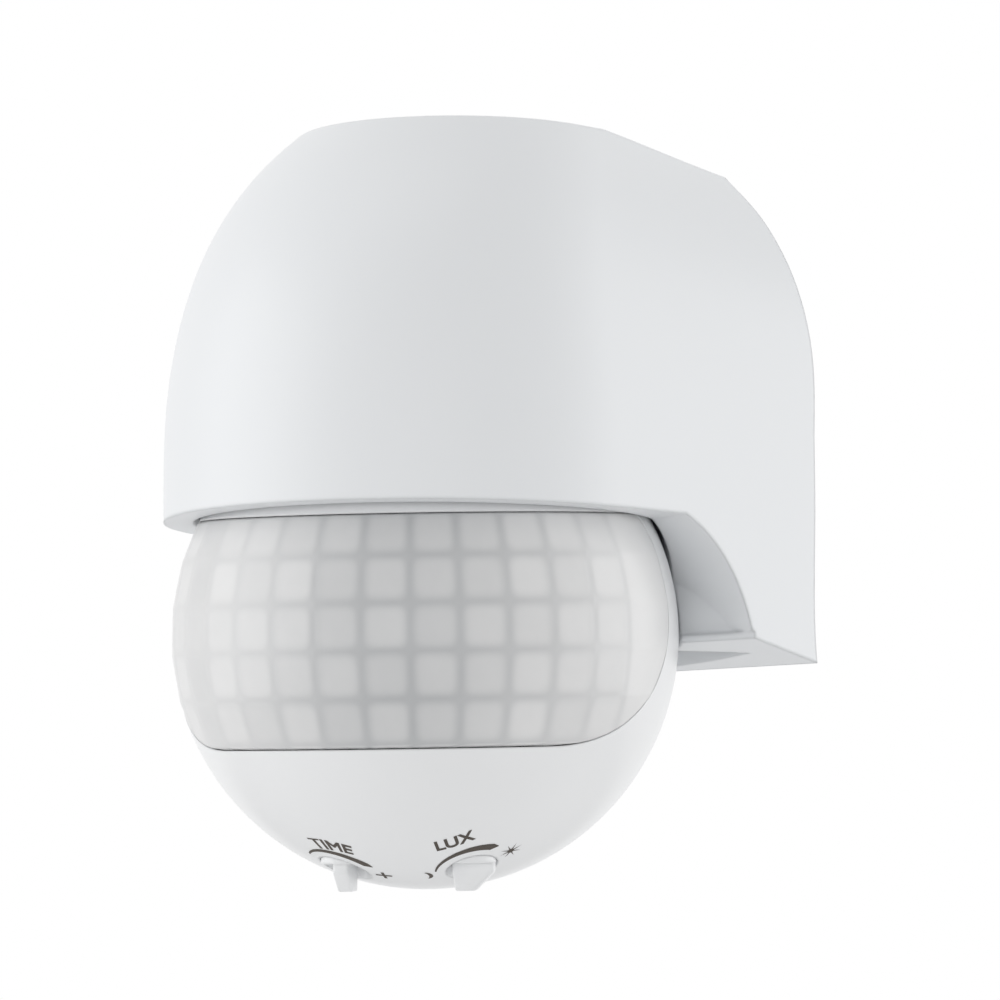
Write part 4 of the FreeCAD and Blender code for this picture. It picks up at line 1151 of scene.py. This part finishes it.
@dataclass
class Studio:
    """A pale floor, soft lamps and the camera of the photograph."""

    distance_mm: float = 850.0
    right: Vector = field(default_factory=lambda: Vector((0.7660, 0.6428, 0.0)))
    back: Vector = field(default_factory=lambda: Vector((0.6398, -0.7624, -0.0969)))
    aside_mm: float = 10.0
    above_mm: float = 18.18
    focal_px: float = 6332.0
    frame_px: float = 1000.0
    sensor_mm: float = 36.0
    nearest: float = 0.01
    surround: float = 0.58
    shown_white: float = 1.0
    floor_size: float = 4.0
    floor_height: float = -0.80
    floor_colour: str = "#F2F2F2"
    floor_roughness: float = 0.9
    lamps: Sequence[Lamp] = (
        Lamp("window_left", (-0.85, -0.95, 0.15), 1.3, 6.8),
        Lamp("window_right", (0.75, 0.85, 0.15), 1.0, 4.0),
        Lamp("front_fill", (0.85, -1.05, -0.05), 0.8, 1.2),
        Lamp("low_fill", (0.60, -0.10, -0.45), 0.5, 0.4),
        Lamp("overhead", (0.1, -0.4, 1.1), 0.8, 1.2),
    )

    def camera(self) -> None:
        """Stand the camera at the photograph's viewing angle."""
        up = self.back.cross(self.right).normalized()
        away = self.right * self.aside_mm + up * self.above_mm + self.back * self.distance_mm
        place = BALL_CENTRE + away * MM
        turn = Matrix((self.right, up, self.back)).transposed().to_euler()
        deselect()
        bpy.ops.object.camera_add(location=place, rotation=turn)
        camera = bpy.context.object
        camera.name = "camera"
        camera.data.sensor_width = self.sensor_mm
        camera.data.lens = self.focal_px * self.sensor_mm / self.frame_px
        camera.data.clip_start = self.nearest
        bpy.context.scene.camera = camera

    def hang(self, lamp: Lamp) -> None:
        """Hang one lamp that shines at the ball.

        Args:
            lamp: The lamp to hang.
        """
        away = Vector(lamp.spot) - BALL_CENTRE
        turn = away.to_track_quat("Z", "Y").to_euler()
        deselect()
        bpy.ops.object.light_add(type="AREA", location=lamp.spot, rotation=turn)
        light = bpy.context.object
        light.name = lamp.name
        light.data.shape = "SQUARE"
        light.data.size = lamp.size
        light.data.energy = lamp.power

    def floor(self) -> None:
        """Lay a pale floor well below the part."""
        deselect()
        place = (0.0, 0.0, self.floor_height)
        bpy.ops.mesh.primitive_plane_add(size=self.floor_size, location=place)
        floor = bpy.context.object
        floor.name = "floor"
        material = bpy.data.materials.new("pale_paper_floor")
        material.use_nodes = True
        shader = material.node_tree.nodes["Principled BSDF"]
        shader.inputs["Base Color"].default_value = linear(self.floor_colour)
        shader.inputs["Roughness"].default_value = self.floor_roughness
        dress(floor, material)

    def world(self) -> None:
        """A white surround that the camera sees as white and that lights softly."""
        world = bpy.data.worlds.new("studio")
        bpy.context.scene.world = world
        world.use_nodes = True
        tree = world.node_tree
        tree.nodes.clear()
        ray = add_node(tree, "ShaderNodeLightPath")
        shows = ray.outputs["Is Camera Ray"]
        for kind in ("Is Glossy Ray", "Is Transmission Ray"):
            either = add_node(
                tree,
                "ShaderNodeMath",
                settings={"operation": "MAXIMUM"},
                links={0: shows, 1: ray.outputs[kind]},
            )
            shows = either.outputs[0]
        soft, white = (
            add_node(tree, "ShaderNodeBackground", values={"Color": WHITE, "Strength": strength})
            for strength in (self.surround, self.shown_white)
        )
        seen = add_node(
            tree,
            "ShaderNodeMixShader",
            links={0: shows, 1: soft.outputs[0], 2: white.outputs[0]},
        )
        add_node(tree, "ShaderNodeOutputWorld", links={"Surface": seen.outputs[0]})

    def build(self) -> None:
        """Set up floor, light and camera."""
        self.floor()
        self.world()
        for lamp in self.lamps:
            self.hang(lamp)
        self.camera()
        view = bpy.context.scene.view_settings
        view.view_transform = "Standard"


def main() -> None:
    """Load the part, dress it, add the pieces that carry its looks and light it."""
    logging.basicConfig(level=logging.INFO, format="%(message)s")
    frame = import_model()
    workshop = Workshop()
    workshop.dress_nodes(frame["nodes"])
    SegmentedLens().build(workshop)
    Legends().build(workshop)
    AdjusterKnob("adjuster_time", "time_knob", x=-8.6, setting=0.0).build(workshop)
    AdjusterKnob("adjuster_lux", "lux_knob", x=8.6, setting=95.0).build(workshop)
    Studio().build()


if __name__ == "__main__":
    main()
